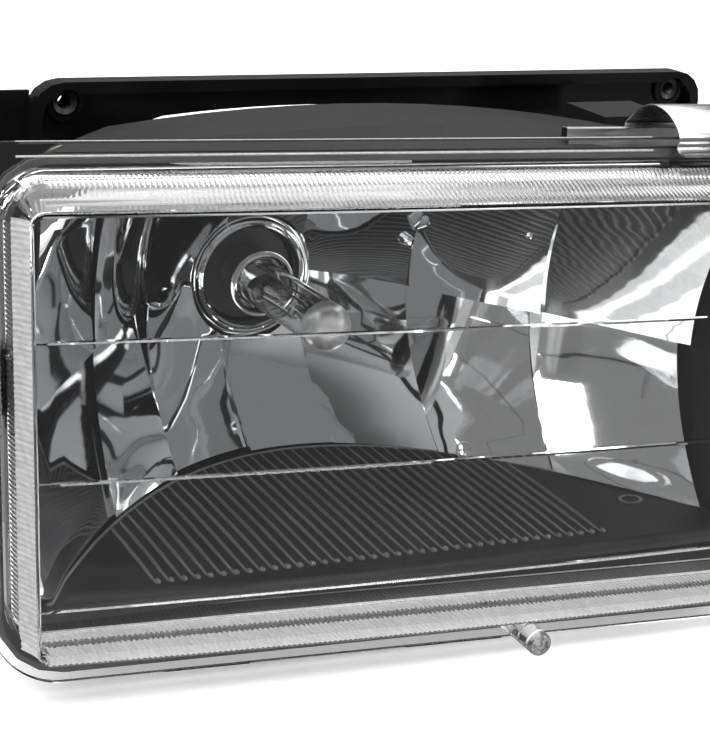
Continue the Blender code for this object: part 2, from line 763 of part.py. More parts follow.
def make_retaining_ring():
    """The twist ring that holds the bulb's flange to the neck, with grip ribs."""
    lip_front = BULB_FLANGE + 3 * MM + GAP
    ring = turned(
        "retaining_ring",
        [(16.2 * MM, lip_front + 3 * MM), (26 * MM, lip_front + 3 * MM), (27 * MM, lip_front + 2 * MM),
         (27 * MM, 9 * MM), (22.2 * MM, 9 * MM), (22.2 * MM, lip_front), (16.2 * MM, lip_front)],
        GREY,
    )
    for i in range(8):
        turn = math.pi / 4 * (i + 0.5)
        grip = box(f"grip_{i}", (-1.6 * MM, 10 * MM, 26 * MM), (1.6 * MM, lip_front + 1.5 * MM, 29.5 * MM), GREY)
        grip.matrix_world = Matrix.Rotation(turn, 4, "Y") @ Matrix.Translation(
            (0, (11.5 * MM + lip_front) / 2, 27.75 * MM))
        join(ring, grip)
    return ring


# ---------------------------------------------------------------- mounting panel and carrying points


def panel_plate(name, left, right, low, top, radius, front, back, finish, crown=0.0):
    """An upright plate with rounded corners, and perhaps an arched top, between two depths."""
    outline = rounded_ring(left, right, top, low, low, radius, crown)
    bm = bmesh.new()
    near = [bm.verts.new((x, front, z)) for x, z in outline]
    far = [bm.verts.new((x, back, z)) for x, z in outline]
    bm.faces.new(near)
    bm.faces.new(far)
    for i in range(len(outline)):
        j = (i + 1) % len(outline)
        bm.faces.new((near[i], near[j], far[j], far[i]))
    bmesh.ops.recalc_face_normals(bm, faces=bm.faces)
    return from_bmesh(name, bm, finish)


ARCH_LEFT = -61.5 * MM
ARCH_RIGHT = 67 * MM
ARCH_TOP = 57.5 * MM
ARCH_CROWN = 4.5 * MM
RIM_WIDTH = 3.4 * MM
RIM_DEPTH = 4 * MM


def make_panel():
    """An arch-shaped panel with a raised rim, four bolt bosses and holes for the carrying points."""
    front = PANEL_BACK - PANEL_THICKNESS
    panel = panel_plate("mounting_panel", PANEL_LEFT, PANEL_RIGHT, PANEL_LOW, PANEL_TOP, 9.7 * MM,
                        front - RIM_DEPTH, PANEL_BACK, GLOSS)
    panel.data.transform(Matrix.Translation(-PIVOT))
    panel.location = PIVOT
    cut(panel, panel_plate("tray", PANEL_LEFT + RIM_WIDTH, PANEL_RIGHT - RIM_WIDTH, PANEL_LOW + RIM_WIDTH,
                           PANEL_TOP - RIM_WIDTH, 7 * MM, front - 9 * MM, front, GLOSS))
    join(panel, box("wing", (PANEL_LEFT - PANEL_WING, PANEL_BACK - 1.8 * MM, PANEL_LOW + 6 * MM),
                    (PANEL_LEFT + 1 * MM, PANEL_BACK - 0.3 * MM, PANEL_TOP - 3 * MM), GLOSS))
    for place, (x, z) in MOUNT_HOLES.items():
        join(panel, rod(f"pad_{place}", 5.6 * MM, (x, front - 1.2 * MM, z), (x, PANEL_BACK + 2 * MM, z), GLOSS,
                        sides=24))
    cut(panel, panel_plate("arch", ARCH_LEFT, ARCH_RIGHT, PANEL_LOW - 40 * MM, ARCH_TOP, 18 * MM,
                           front - 12 * MM, PANEL_BACK + 12 * MM, GLOSS, ARCH_CROWN))
    for place, (x, z) in MOUNT_HOLES.items():
        cut(panel, rod(f"hole_{place}", BUSH_RADIUS + GAP, (x, -50 * MM, z), (x, -10 * MM, z), GLOSS, sides=24))
    for name, place, radius in (
        ("pivot", PIVOT, 7.8 * MM),
        ("vertical", VERTICAL_ADJUSTER, 6.3 * MM),
        ("horizontal", HORIZONTAL_ADJUSTER, 6.3 * MM),
    ):
        cut(panel, rod(f"{name}_hole", radius, (place.x, -50 * MM, place.z), (place.x, -10 * MM, place.z), GLOSS,
                       sides=24))
    return panel


BUSH_RADIUS = 3.8 * MM
BUSH_BORE = 2.7 * MM


def make_mount_bushes():
    front = PANEL_BACK - PANEL_THICKNESS - 1.2 * MM
    back = PANEL_BACK + 2 * MM
    for place, (x, z) in MOUNT_HOLES.items():
        turned(f"mount_bush_{place}",
               [(BUSH_BORE, back), (BUSH_RADIUS, back), (BUSH_RADIUS, front), (BUSH_BORE, front)],
               STEEL, centre=(x, 0, z), steps=24)


def make_pivot():
    back = boss_back(PIVOT)
    ball = 4.5 * MM
    arc = []
    for i in range(7):
        turn = math.radians(90 - 22.5 * i)
        arc.append((ball * math.cos(turn), PIVOT.y + ball * math.sin(turn)))
    arc = [point for point in arc if point[0] > 2.3 * MM or point[1] > PIVOT.y]
    arc[0] = (0, PIVOT.y + ball)
    turned(
        "pivot_ball_stud",
        arc + [(2.2 * MM, PIVOT.y - 4 * MM), (2.2 * MM, back + 2.6 * MM), (5 * MM, back + 2.6 * MM),
               (5 * MM, back + GAP), (2.2 * MM, back + GAP), (2.2 * MM, back - 11 * MM), (0, back - 11.5 * MM)],
        STEEL, centre=(PIVOT.x, 0, PIVOT.z), steps=24,
    )
    turned(
        "pivot_socket",
        [(4.9 * MM, PIVOT.y + 4 * MM), (7.2 * MM, PIVOT.y + 4 * MM), (7.2 * MM, PIVOT.y - 4 * MM),
         (4.9 * MM, PIVOT.y - 4 * MM)],
        NYLON, centre=(PIVOT.x, 0, PIVOT.z), steps=24,
    )


def make_adjuster(name, place):
    """A screw whose ball end snaps into a socket in the housing, and the nut it turns in, in the panel."""
    back = boss_back(place)
    ball = 4 * MM
    middle = back - 5 * MM
    arc = []
    for i in range(1, 7):
        turn = math.radians(60 - 25 * i)
        arc.append((ball * math.cos(turn), middle + ball * math.sin(turn)))
    head_front, head_back = -14 * MM, -8 * MM
    screw = turned(
        f"{name}_screw",
        [(0, head_front + 1 * MM), (2.5 * MM, head_front + 1 * MM), (2.5 * MM, middle + 3.4 * MM)] + arc
        + [(0, middle - ball)],
        STEEL, centre=(place.x, 0, place.z), steps=24,
    )
    join(screw, rod(f"{name}_head", 5 * MM, (place.x, head_front, place.z), (place.x, head_back, place.z), STEEL,
                    sides=6))
    turned(
        f"{name}_socket",
        [(3.5 * MM, back + 1.4 * MM), (6.4 * MM, back + 1.4 * MM), (6.4 * MM, back + GAP), (5.3 * MM, back + GAP),
         (5.3 * MM, back - 11 * MM), (4.4 * MM, back - 11 * MM), (4.4 * MM, back - 1.6 * MM),
         (3.5 * MM, back - 1.0 * MM)],
        NYLON, centre=(place.x, 0, place.z), steps=24,
    )
    turned(
        f"{name}_nut",
        [(3.4 * MM, PANEL_BACK + 2.6 * MM), (8.4 * MM, PANEL_BACK + 2.6 * MM), (8.4 * MM, PANEL_BACK + GAP),
         (6 * MM, PANEL_BACK + GAP), (6 * MM, PANEL_BACK - 4.5 * MM), (3.4 * MM, PANEL_BACK - 4.5 * MM)],
        NYLON, centre=(place.x, 0, place.z), steps=24,
    )


# ---------------------------------------------------------------- assembly


def attach(name, holder):
    """Parents a piece to the one that carries it, where it already is."""
    bpy.context.view_layer.update()
    piece = PARTS.objects[name]
    piece.parent = PARTS.objects[holder]
    piece.matrix_parent_inverse = piece.parent.matrix_world.inverted()


def attach_moving_pieces():
    for place in MOUNT_HOLES:
        attach(f"mount_bush_{place}", "mounting_panel")
    for name in ("vertical_adjuster_nut", "horizontal_adjuster_nut"):
        attach(name, "mounting_panel")
    for name in ("bulb_capsule", "bulb_collar", "bulb_o_ring", "low_beam_filament", "high_beam_filament",
                 "low_beam_lead", "common_lead", "high_beam_lead", "retaining_ring", "bulb_terminal_1",
                 "bulb_terminal_2", "bulb_terminal_3"):
        attach(name, "bulb_base")


def stand_on_base():
    """Hangs the whole lamp from one empty and moves it so that the origin is the centre of its base."""
    bpy.context.view_layer.update()
    graph = bpy.context.evaluated_depsgraph_get()
    low, high = Vector((1e9,) * 3), Vector((-1e9,) * 3)
    for obj in PARTS.objects:
        seen = obj.evaluated_get(graph)
        mesh = seen.to_mesh()
        for vertex in mesh.vertices:
            point = seen.matrix_world @ vertex.co
            low = Vector(map(min, low, point))
            high = Vector(map(max, high, point))
        seen.to_mesh_clear()
    base = Vector(((low.x + high.x) / 2, (low.y + high.y) / 2, low.z))
    holder = bpy.data.objects.new("lamp_placement", None)
    CUTTERS.objects.link(holder)
    for obj in list(PARTS.objects) + list(CUTTERS.objects):
        if obj is not holder and obj.parent is None:
            obj.parent = holder
    holder.location = -base
    return base


def main():
    make_lens()
    make_gasket()
    make_reflector()
    make_reflector_screws()
    make_bezel()
    make_housing()
    make_neck_seal()
    make_vent_cap()
    make_clips()
    make_bulb()
    make_retaining_ring()
    make_panel()
    make_mount_bushes()
    make_pivot()
    make_adjuster("vertical_adjuster", VERTICAL_ADJUSTER)
    make_adjuster("horizontal_adjuster", HORIZONTAL_ADJUSTER)
    attach_moving_pieces()
    base = stand_on_base()
    print("origin in the design frame, mm", [round(value * 1000, 5) for value in base])


main()
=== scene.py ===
"""A composite car headlamp, seen close up from the front, above and to the left, on a white table.

Sizes are in millimetres in the lamp's design frame: its origin is where the bulb's axis meets the
reflector, X points right, Y into the lamp and Z up. piece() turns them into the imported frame's metres.
"""

from math import copysign, cos, hypot, pi, radians, sin, tan

import bmesh
import bpy
from mathutils import Euler, Matrix, Vector, noise


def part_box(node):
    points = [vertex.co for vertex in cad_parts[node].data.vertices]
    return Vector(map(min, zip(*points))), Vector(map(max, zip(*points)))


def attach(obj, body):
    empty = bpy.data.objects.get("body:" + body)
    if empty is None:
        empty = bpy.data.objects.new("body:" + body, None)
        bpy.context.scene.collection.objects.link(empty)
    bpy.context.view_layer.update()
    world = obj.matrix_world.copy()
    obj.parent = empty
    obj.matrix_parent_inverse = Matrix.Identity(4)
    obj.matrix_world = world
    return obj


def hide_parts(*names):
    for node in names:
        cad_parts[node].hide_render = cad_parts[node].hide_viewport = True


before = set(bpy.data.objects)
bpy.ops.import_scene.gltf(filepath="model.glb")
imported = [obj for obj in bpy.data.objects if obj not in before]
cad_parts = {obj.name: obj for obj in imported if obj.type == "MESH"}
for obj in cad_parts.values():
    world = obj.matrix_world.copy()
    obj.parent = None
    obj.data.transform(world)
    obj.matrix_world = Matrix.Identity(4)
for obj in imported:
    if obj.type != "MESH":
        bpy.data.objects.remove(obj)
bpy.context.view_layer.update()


# ---- places, from the frame

MM = 0.001
NECK_LOW, NECK_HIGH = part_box("neck_seal")
CAPSULE_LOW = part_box("bulb_capsule")[0]
CAPSULE_REACH = 68.0  # from the origin to the bulb's tip
ORIGIN = Vector((
    (NECK_LOW[0] + NECK_HIGH[0]) / 2,
    CAPSULE_LOW[1] + CAPSULE_REACH * MM,
    (NECK_LOW[2] + NECK_HIGH[2]) / 2,
))
TO_FRAME = Matrix.Translation(ORIGIN) @ Matrix.Scale(MM, 4)

# The lens: its face leans and is swept back to the left.
FACE_HALF = 111.0
FACE_TOP = 58.7
FACE_BOTTOM = (-53.0, -57.0)  # at the left and at the right end
SWEEP = radians(-6.3)
RAKE = radians(-9.0)
FACE_BOW = 2.8
FACE_Y = -141.0
LENS_FRAME = Matrix.Translation((0, FACE_Y, 0)) @ Euler((RAKE, 0, SWEEP)).to_matrix().to_4x4()
SIDE_SHARE = 0.6  # the side walls' growth, as a share of the top wall's
BOTTOM_SHARE = 0.8  # the same for the flange's lower edge
WALL_BOTTOM_SHARE = 0.1  # the bottom wall in front of the flange runs almost straight back
BOTTOM_WALL = 2.0  # how thick the bottom wall is
TOP_ROUNDING = 0.4  # the radius of the flange's upper corners, as a share of the ring's
BOTTOM_ROUNDING = 1.4
FLANGE_GROWTH_START = 9.0  # rings that grow by more than this are the flange's
FLANGE_REACH = 15.0
FLANGE_FRONT = 18.0

# The reflector and the bezel's floor under it.
REFLECTOR_HALF = 104.3
REFLECTOR_LOW = -47.6
REFLECTOR_HIGH = 56.2
DISH_WIDTH = 138.0  # the dish comes forward by x^2 / DISH_WIDTH
DISH_HALF_HEIGHT = 48.0
DISH_RISE = 37.0  # how far it comes forward at that height
SHOULDER = 20.0  # how much more its ends come forward
SHOULDER_START = 18.0
SHOULDER_END = 70.0
FLOOR_TOP = -48.0
LIP_LEFT = Vector((-104.0, -117.0))
LIP_RIGHT = Vector((109.0, -133.0))


# ---- node materials


class Nodes:
    """A material's or the world's node tree. An input takes a plain value or another node's output."""

    def __init__(self, owner):
        owner.use_nodes = True
        self.owner = owner
        self.tree = owner.node_tree

    def put(self, node, inputs):
        for socket, value in inputs.items():
            if isinstance(value, bpy.types.NodeSocket):
                self.tree.links.new(value, node.inputs[socket])
            else:
                node.inputs[socket].default_value = value

    def add(self, kind, output, inputs, **settings):
        made = self.tree.nodes.new("ShaderNode" + kind)
        for name, value in settings.items():
            setattr(made, name, value)
        self.put(made, inputs)
        return made.outputs[output]

    def shade(self, **inputs):
        """Sets the main shader's inputs, with _ for the spaces in their names."""
        named = {name.replace("_", " "): value for name, value in inputs.items()}
        self.put(self.tree.nodes["Principled BSDF"], named)

    def position(self, scale=(1, 1, 1)):
        """The object's coordinates, in metres, stretched by scale."""
        where = self.add("TexCoord", "Object", {})
        return self.add("Mapping", "Vector", {"Vector": where, "Scale": scale})

    def noise(self, where, scale, detail=3.0, roughness=0.5):
        inputs = {"Vector": where, "Scale": scale, "Detail": detail, "Roughness": roughness}
        return self.add("TexNoise", "Fac", inputs)

    def ramp(self, value, *stops):
        """The two stops are (position, grey) or (position, (r, g, b))."""
        made = self.tree.nodes.new("ShaderNodeValToRGB")
        for element, (position, colour) in zip(made.color_ramp.elements, stops):
            element.position = position
            element.color = (*colour, 1) if isinstance(colour, tuple) else (colour, colour, colour, 1)
        self.put(made, {"Fac": value})
        return made.outputs["Color"]

    def bump(self, height, strength, distance):
        inputs = {"Height": height, "Strength": strength, "Distance": distance}
        self.shade(Normal=self.add("Bump", "Normal", inputs))

    def mix_surface(self, share, surface):
        """Mixes another surface into the main shader's, and makes that the material's."""
        own = self.tree.nodes["Principled BSDF"].outputs["BSDF"]
        mixed = self.add("MixShader", "Shader", {"Fac": share, 1: own, 2: surface})
        self.put(self.tree.nodes["Material Output"], {"Surface": mixed})

    def clear_in_shadow(self, tint):
        """Lets light through, so that a clear piece casts hardly any shadow."""
        clear = self.add("BsdfTransparent", "BSDF", {"Color": (*tint, 1)})
        self.mix_surface(self.add("LightPath", "Is Shadow Ray", {}), clear)

    def bright_when_seen(self, grey, painted_glow):
        """Shows a lighter surface with a faint painted glow where it is seen straight, through clear pieces
        or in the reflector behind the lens, and leaves the darker one for what mirrors it from outside."""
        mirrors = self.add("LightPath", "Glossy Depth", {})
        clear_sides = self.add("LightPath", "Transmission Depth", {})
        straight = self.add("Math", "Value", {0: mirrors, 1: 0.5}, operation="LESS_THAN")
        behind_lens = self.add("Math", "Value", {0: clear_sides, 1: 2.5}, operation="GREATER_THAN")
        seen = self.add("Math", "Value", {0: straight, 1: behind_lens}, operation="MAXIMUM")
        light = self.add("BsdfDiffuse", "BSDF", {"Color": (grey, grey, grey, 1)})
        # the emission is painted light that lifts the shade on the table
        lift = self.add("Emission", "Emission", {"Strength": painted_glow})
        self.mix_surface(seen, self.add("AddShader", "Shader", {0: light, 1: lift}))


def grained_plastic(name, colour, roughness, grain, distance, specular=0.5):
    """Moulded plastic with a fine grain, uneven gloss and a little dust."""
    nodes = Nodes(bpy.data.materials.new(name))
    where = nodes.position()
    cloud = nodes.noise(where, 60, 4, 0.6)
    dark = tuple(value * 0.8 for value in colour)
    light = tuple(value * 1.25 + 0.002 for value in colour)
    body = nodes.ramp(cloud, (0.3, dark), (0.7, light))
    dust = nodes.ramp(nodes.noise(where, 900, 2, 0.7), (0.79, 0.0), (0.82, 0.3))
    dusty = nodes.add("MixRGB", "Color", {"Fac": 0.5, "Color1": body, "Color2": dust}, blend_type="ADD")
    gloss = nodes.ramp(cloud, (0.3, roughness * 0.88), (0.7, min(1.0, roughness * 1.15)))
    nodes.shade(Base_Color=dusty, Roughness=gloss, Specular_IOR_Level=specular)
    nodes.bump(nodes.noise(where, grain, 3), 0.5, distance)
    return nodes.owner


def chrome(name, colour, roughness, ripple):
    """Vacuum-metallised plastic: bright, with the faint flow of the moulding under it."""
    nodes = Nodes(bpy.data.materials.new(name))
    nodes.shade(Metallic=1.0, Roughness=roughness, Base_Color=(*colour, 1))
    nodes.bump(nodes.noise(nodes.position((0.25, 0.6, 2.2)), 45, 2, 0.5), 0.35, ripple)
    return nodes.owner


def bright_steel(name, colour, roughness, stretch):
    """Bright strip or turned steel with fine drawing lines."""
    nodes = Nodes(bpy.data.materials.new(name))
    lines = nodes.noise(nodes.position(stretch), 700, 3, 0.6)
    spots = nodes.noise(nodes.position(), 160, 4, 0.7)
    dark = tuple(value * 0.84 for value in colour)
    body = nodes.ramp(spots, (0.35, dark), (0.6, colour))
    gloss = nodes.ramp(lines, (0.3, roughness * 0.7), (0.7, roughness * 1.4))
    nodes.shade(Metallic=1.0, Base_Color=body, Roughness=gloss)
    nodes.bump(lines, 0.25, 0.00001)
    return nodes.owner


def clear_plastic(name, roughness, ior, tint):
    """Clear moulded plastic, faintly uneven as mouldings are."""
    nodes = Nodes(bpy.data.materials.new(name))
    nodes.shade(IOR=ior, Transmission_Weight=1.0, Base_Color=(*tint, 1), Roughness=roughness)
    nodes.bump(nodes.noise(nodes.position(), 38, 2, 0.4), 0.12, 0.00004)
    nodes.clear_in_shadow(tuple(value * 0.97 for value in tint))
    return nodes.owner


def frosted_paint(name):
    """Grey heat-resistant paint on the bulb's tip, thin and mottled."""
    nodes = Nodes(bpy.data.materials.new(name))
    mottle = nodes.noise(nodes.position(), 420, 5, 0.65)
    nodes.shade(Base_Color=nodes.ramp(mottle, (0.3, 0.5), (0.7, 0.7)), Metallic=0.6, Roughness=0.34)
    nodes.bump(mottle, 0.4, 0.00005)
    return nodes.owner


def pale_flutes_painted_light(name):
    """A pale colour streaked along the flutes: painted light for the bright table seen through the clear
    lens walls.
    """
    nodes = Nodes(bpy.data.materials.new(name))
    streaks = nodes.noise(nodes.position((1, 0.2, 1)), 900, 3, 0.6)
    body = nodes.ramp(streaks, (0.3, 0.42), (0.7, 0.62))
    nodes.shade(Base_Color=body, Roughness=0.35, Transmission_Weight=0.25)
    return nodes.owner


def rubber(name):
    """Black rubber with a dull bloom."""
    nodes = Nodes(bpy.data.materials.new(name))
    where = nodes.position()
    bloom = nodes.noise(where, 130, 4, 0.7)
    body = nodes.ramp(bloom, (0.3, 0.012), (0.75, 0.035))
    nodes.shade(Base_Color=body, Roughness=nodes.ramp(bloom, (0.3, 0.6), (0.7, 0.85)))
    nodes.bump(nodes.noise(where, 1800, 2), 0.3, 0.00003)
    return nodes.owner


LENS_CLEAR = clear_plastic("lens_clear", 0.0, 1.49, (1.0, 1.0, 1.0))
PEG_CLEAR = clear_plastic("peg_clear", 0.16, 1.49, (1.0, 1.0, 1.0))
BULB_GLASS = clear_plastic("bulb_glass", 0.0, 1.45, (0.98, 0.985, 0.985))
REFLECTOR_CHROME = chrome("reflector_chrome", (0.86, 0.87, 0.88), 0.035, 0.00012)
ROOF_SATIN = chrome("roof_satin", (0.34, 0.34, 0.345), 0.42, 0.00004)
COLLAR_CHROME = chrome("collar_chrome", (0.8, 0.8, 0.81), 0.09, 0.00002)
BEZEL_BLACK = grained_plastic("bezel_black", (0.005, 0.005, 0.0052), 0.5, 2600, 0.000006, 0.15)
RIB_BLACK = grained_plastic("rib_black", (0.05, 0.05, 0.052), 0.4, 2600, 0.000006, 0.5)
BEZEL_EDGE = grained_plastic("bezel_edge", (0.06, 0.06, 0.062), 0.45, 2600, 0.00002)
HOUSING_BLACK = grained_plastic("housing_black", (0.01, 0.01, 0.0105), 0.5, 1800, 0.00002, 0.12)
PANEL_BLACK = grained_plastic("panel_black", (0.002, 0.002, 0.0022), 0.17, 900, 0.000006, 0.35)
BULB_BASE = grained_plastic("bulb_base", (0.02, 0.02, 0.021), 0.4, 1500, 0.00002)
RING_GREY = grained_plastic("ring_grey", (0.05, 0.05, 0.052), 0.45, 1500, 0.00002)
NYLON = grained_plastic("nylon", (0.66, 0.64, 0.57), 0.45, 900, 0.00002)
CLIP_STEEL = bright_steel("clip_steel", (0.55, 0.55, 0.555), 0.26, (0.05, 1, 1))
RAIL_STEEL = bright_steel("rail_steel", (0.4, 0.4, 0.405), 0.45, (0.05, 1, 1))
SCREW_STEEL = bright_steel("screw_steel", (0.62, 0.62, 0.63), 0.3, (1, 0.05, 1))
DARK_STEEL = bright_steel("dark_steel", (0.05, 0.05, 0.052), 0.4, (1, 0.05, 1))
TERMINAL = bright_steel("terminal", (0.8, 0.72, 0.5), 0.28, (1, 0.05, 1))
WIRE = bright_steel("wire", (0.16, 0.16, 0.165), 0.35, (1, 0.05, 1))
TIP_PAINT = frosted_paint("tip_paint")
# pale painted light for the flutes, and for the painted highlights along the lens's edges
FLUTE_PAINTED_LIGHT = pale_flutes_painted_light("flute_painted_light")
AIM_MARK = grained_plastic("aim_mark", (0.12, 0.12, 0.12), 0.25, 900, 0.00001)
RUBBER = rubber("rubber")


# ---- mesh helpers


def smooth(mesh, sharp_angle):
    for polygon in mesh.polygons:
        polygon.use_smooth = True
    mesh.set_sharp_from_angle(angle=radians(sharp_angle))


def add_object(name, data):
    obj = bpy.data.objects.new(name, data)
    bpy.context.scene.collection.objects.link(obj)
    return obj


def piece(name, bm, finish, sharp_angle, body="lamp", replaces=None):
    """Finishes a bmesh in design millimetres as a piece that rides on a body."""
    bmesh.ops.recalc_face_normals(bm, faces=bm.faces)
    mesh = bpy.data.meshes.new(name)
    bm.to_mesh(mesh)
    bm.free()
    mesh.transform(TO_FRAME)
    smooth(mesh, sharp_angle)
    mesh.materials.append(finish)
    obj = add_object(name, mesh)
    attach(obj, body)
    if replaces:
        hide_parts(replaces)


def circle(steps):
    """The cosine and sine at each step round a circle."""
    angles = [2 * pi * i / steps for i in range(steps)]
    return [(cos(angle), sin(angle)) for angle in angles]


def spread(start, end, steps):
    """Even steps from start to end, both included."""
    return [start + (end - start) * i / steps for i in range(steps + 1)]


def skin(bm, rows, closed=True, capped=False):
    """Joins rows of points by quads; capped closes the first and the last row."""
    made = [[bm.verts.new(point) for point in row] for row in rows]
    for near, far in zip(made, made[1:]):
        count = len(near)
        for i in range(count if closed else count - 1):
            j = (i + 1) % count
            bm.faces.new((near[i], near[j], far[j], far[i]))
    if capped:
        bm.faces.new(made[0])
        bm.faces.new(made[-1])
    return made


def skinned(rows, closed=True, capped=False):
    """A bmesh of one skin."""
    bm = bmesh.new()
    skin(bm, rows, closed, capped)
    return bm


def turn_profile(bm, profile, steps, centre=(0, 0, 0), closed=False):
    """Turns (radius, y) points about a line along Y. Ends on the axis become points."""
    rows = []
    for radius, y in profile:
        if radius < 1e-6:
            rows.append([bm.verts.new((centre[0], centre[1] + y, centre[2]))])
            continue
        points = [(centre[0] + radius * c, centre[1] + y, centre[2] + radius * s) for c, s in circle(steps)]
        rows.append([bm.verts.new(point) for point in points])
    pairs = list(zip(rows, rows[1:]))
    if closed:
        pairs.append((rows[-1], rows[0]))
    for near, far in pairs:
        for i in range(steps):
            j = (i + 1) % steps
            if len(near) == 1:
                bm.faces.new((near[0], far[j], far[i]))
            elif len(far) == 1:
                bm.faces.new((near[i], near[j], far[0]))
            else:
                bm.faces.new((near[i], near[j], far[j], far[i]))


def tube(bm, path, radius, sides=8):
    """A round wire along a path, with closed ends."""
    points = [Vector(point) for point in path]
    across = None
    rings = []
    for i, point in enumerate(points):
        ahead = points[min(i + 1, len(points) - 1)] - points[max(i - 1, 0)]
        ahead.normalize()
        if across is None:
            across = ahead.orthogonal().normalized()
        else:
            across = (across - ahead * across.dot(ahead)).normalized()
        other = ahead.cross(across)
        rings.append([point + (across * c + other * s) * radius for c, s in circle(sides)])
    skin(bm, rings, capped=True)


# ---- lens

FLUTE_PITCH = 1.4
FLUTE_SAMPLES = 4
FLUTE_DEPTH = 0.2
CORNER_FLUTES = 6
TOP_FLUTES = round(2 * FACE_HALF / FLUTE_PITCH)
SIDE_FLUTES = round((FACE_TOP - sum(FACE_BOTTOM) / 2) / FLUTE_PITCH)
TOP_COUNT = TOP_FLUTES * FLUTE_SAMPLES  # points of the outline along the top, a side and a corner
SIDE_COUNT = SIDE_FLUTES * FLUTE_SAMPLES
CORNER_COUNT = CORNER_FLUTES * FLUTE_SAMPLES
LENS_WALL = 2.6

# Rings: depth behind the face, growth past its edge, corner radius and share of the flutes' depth.
LENS_OUTSIDE = (
    (0.0, -0.5, 3.2), (0.15, -0.15, 3.5), (0.6, 0.1, 3.6), (1.2, 0.5, 3.8, 0.8), (4.4, 2.5, 6.0, 1.0),
    (7.2, 4.5, 8.0, 1.0), (7.7, 4.7, 8.4), (8.3, 5.4, 9.0, 0.8), (10.4, 7.0, 10.0, 0.7), (11.2, 7.3, 10.2),
    (13.2, 8.0, 10.6), (17.2, 8.5, 11.0), (17.8, 8.8, 11.2), (18.0, 9.5, 11.6), (18.0, 14.4, 13.4),
    (18.3, 14.9, 13.9), (19.0, 15.0, 14.0), (20.4, 15.0, 14.0), (21.0, 14.6, 13.6), (21.0, 6.0, 9.6),
)
LENS_INSIDE = (
    (20.4, 5.8, 10.4), (13.6, 5.3, 9.4), (11.8, 4.6, 8.6), (9.4, 2.9, 7.0), (3.4, -0.9, 3.4),
    (2.9, -1.2, 3.2), (LENS_WALL, -1.7, 2.9),
)


def lens_point(across, depth, up):
    bow = FACE_BOW * ((across / FACE_HALF) ** 2 - 1) * max(0.0, 1 - depth / FLANGE_FRONT)
    return LENS_FRAME @ Vector((across, depth + bow, up))


def face_outline(growth, radius, lift=0.0):
    """Points and outward directions round the face, clockwise from the top side's left end. lift raises
    the bottom by the wall's thickness."""
    left, right = -FACE_HALF - growth * SIDE_SHARE, FACE_HALF + growth * SIDE_SHARE
    top = FACE_TOP + growth
    flange = growth > FLANGE_GROWTH_START
    low_share = BOTTOM_SHARE if flange else WALL_BOTTOM_SHARE
    low = [value - growth * low_share + lift for value in FACE_BOTTOM]
    low_radius = radius * BOTTOM_ROUNDING if flange else radius
    radius = radius * TOP_ROUNDING if flange else radius
    radii = (radius, radius, low_radius, low_radius)
    corners = (
        (left + radius, top - radius),
        (right - radius, top - radius),
        (right - low_radius, low[1] + low_radius),
        (left + low_radius, low[0] + low_radius),
    )
    outward = ((0, 1), (1, 0), (0, -1), (-1, 0))
    out = []
    for side in range(4):
        centre = Vector(corners[(side + 1) % 4])
        normal = Vector(outward[side])
        begin = Vector(corners[side]) + normal * radii[side]
        end = centre + normal * radii[(side + 1) % 4]
        steps = (TOP_COUNT, SIDE_COUNT)[side % 2]
        out += [(begin.lerp(end, i / steps), normal) for i in range(steps)]
        turn = radians(90 - 90 * side)
        for i in range(CORNER_COUNT):
            angle = turn - pi / 2 * i / CORNER_COUNT
            normal = Vector((cos(angle), sin(angle)))
            out.append((centre + normal * radii[(side + 1) % 4], normal))
    return out


def lens_ring(depth, growth, radius, flutes=0.0, lift=0.0):
    """The points of one ring, its flutes cut in."""
    ring = []
    for i, (point, normal) in enumerate(face_outline(growth, radius, lift)):
        phase = 2 * pi * (i % FLUTE_SAMPLES) / FLUTE_SAMPLES
        point = point - normal * (FLUTE_DEPTH * flutes * (0.5 + 0.5 * cos(phase)))
        ring.append(lens_point(point.x, depth, point.y))
    return ring


CREASES = ((27.9, 25.9), (-6.6, -9.0), (-38.6, -39.8))  # heights at the face's left and right ends
CREASE_HALF = 0.5
CREASE_DEPTH = 0.25
COLUMN_STEP = 12  # outline points from one column of the face's grid to the next


def crease_rows(across, dip):
    """The (height, depth) of the rows across the face between its top and bottom edges."""
    share = (across / FACE_HALF + 1) / 2
    rows = []
    for left, right in CREASES:
        middle = left + (right - left) * share
        rows += [(middle + CREASE_HALF, 0.0), (middle, dip), (middle - CREASE_HALF, 0.0)]
    return rows


def fill_face(bm, ring, depth, growth, radius, dip, lift=0.0):
    """Closes a ring of vertices with the face's plate, three creases across it."""
    outline = [point for point, _ in face_outline(growth, radius, lift)]
    right_start = TOP_COUNT + CORNER_COUNT
    low_start = right_start + SIDE_COUNT + CORNER_COUNT
    left_start = low_start + TOP_COUNT + CORNER_COUNT
    total = len(ring)
    picks = list(range(0, TOP_COUNT, COLUMN_STEP)) + [TOP_COUNT]
    columns = []
    for pick in picks:
        across = outline[pick].x
        rows = crease_rows(across, dip)
        columns.append([bm.verts.new(lens_point(across, depth + dent, up)) for up, dent in rows])
    for here in range(len(picks) - 1):
        near, far = columns[here], columns[here + 1]
        top_edge = [ring[i] for i in range(picks[here], picks[here + 1] + 1)]
        bm.faces.new(top_edge + [far[0], near[0]])
        for row in range(len(near) - 1):
            bm.faces.new((near[row], far[row], far[row + 1], near[row + 1]))
        begin, end = low_start + TOP_COUNT - picks[here + 1], low_start + TOP_COUNT - picks[here]
        low_edge = [ring[i % total] for i in range(begin, end + 1)]
        bm.faces.new([near[-1], far[-1]] + low_edge)
    close_end(bm, ring, outline, columns[-1], range(TOP_COUNT, low_start + 1), right_start)
    left_end = range(left_start - CORNER_COUNT, total + 1)
    close_end(bm, ring, outline, columns[0][::-1], left_end, left_start)


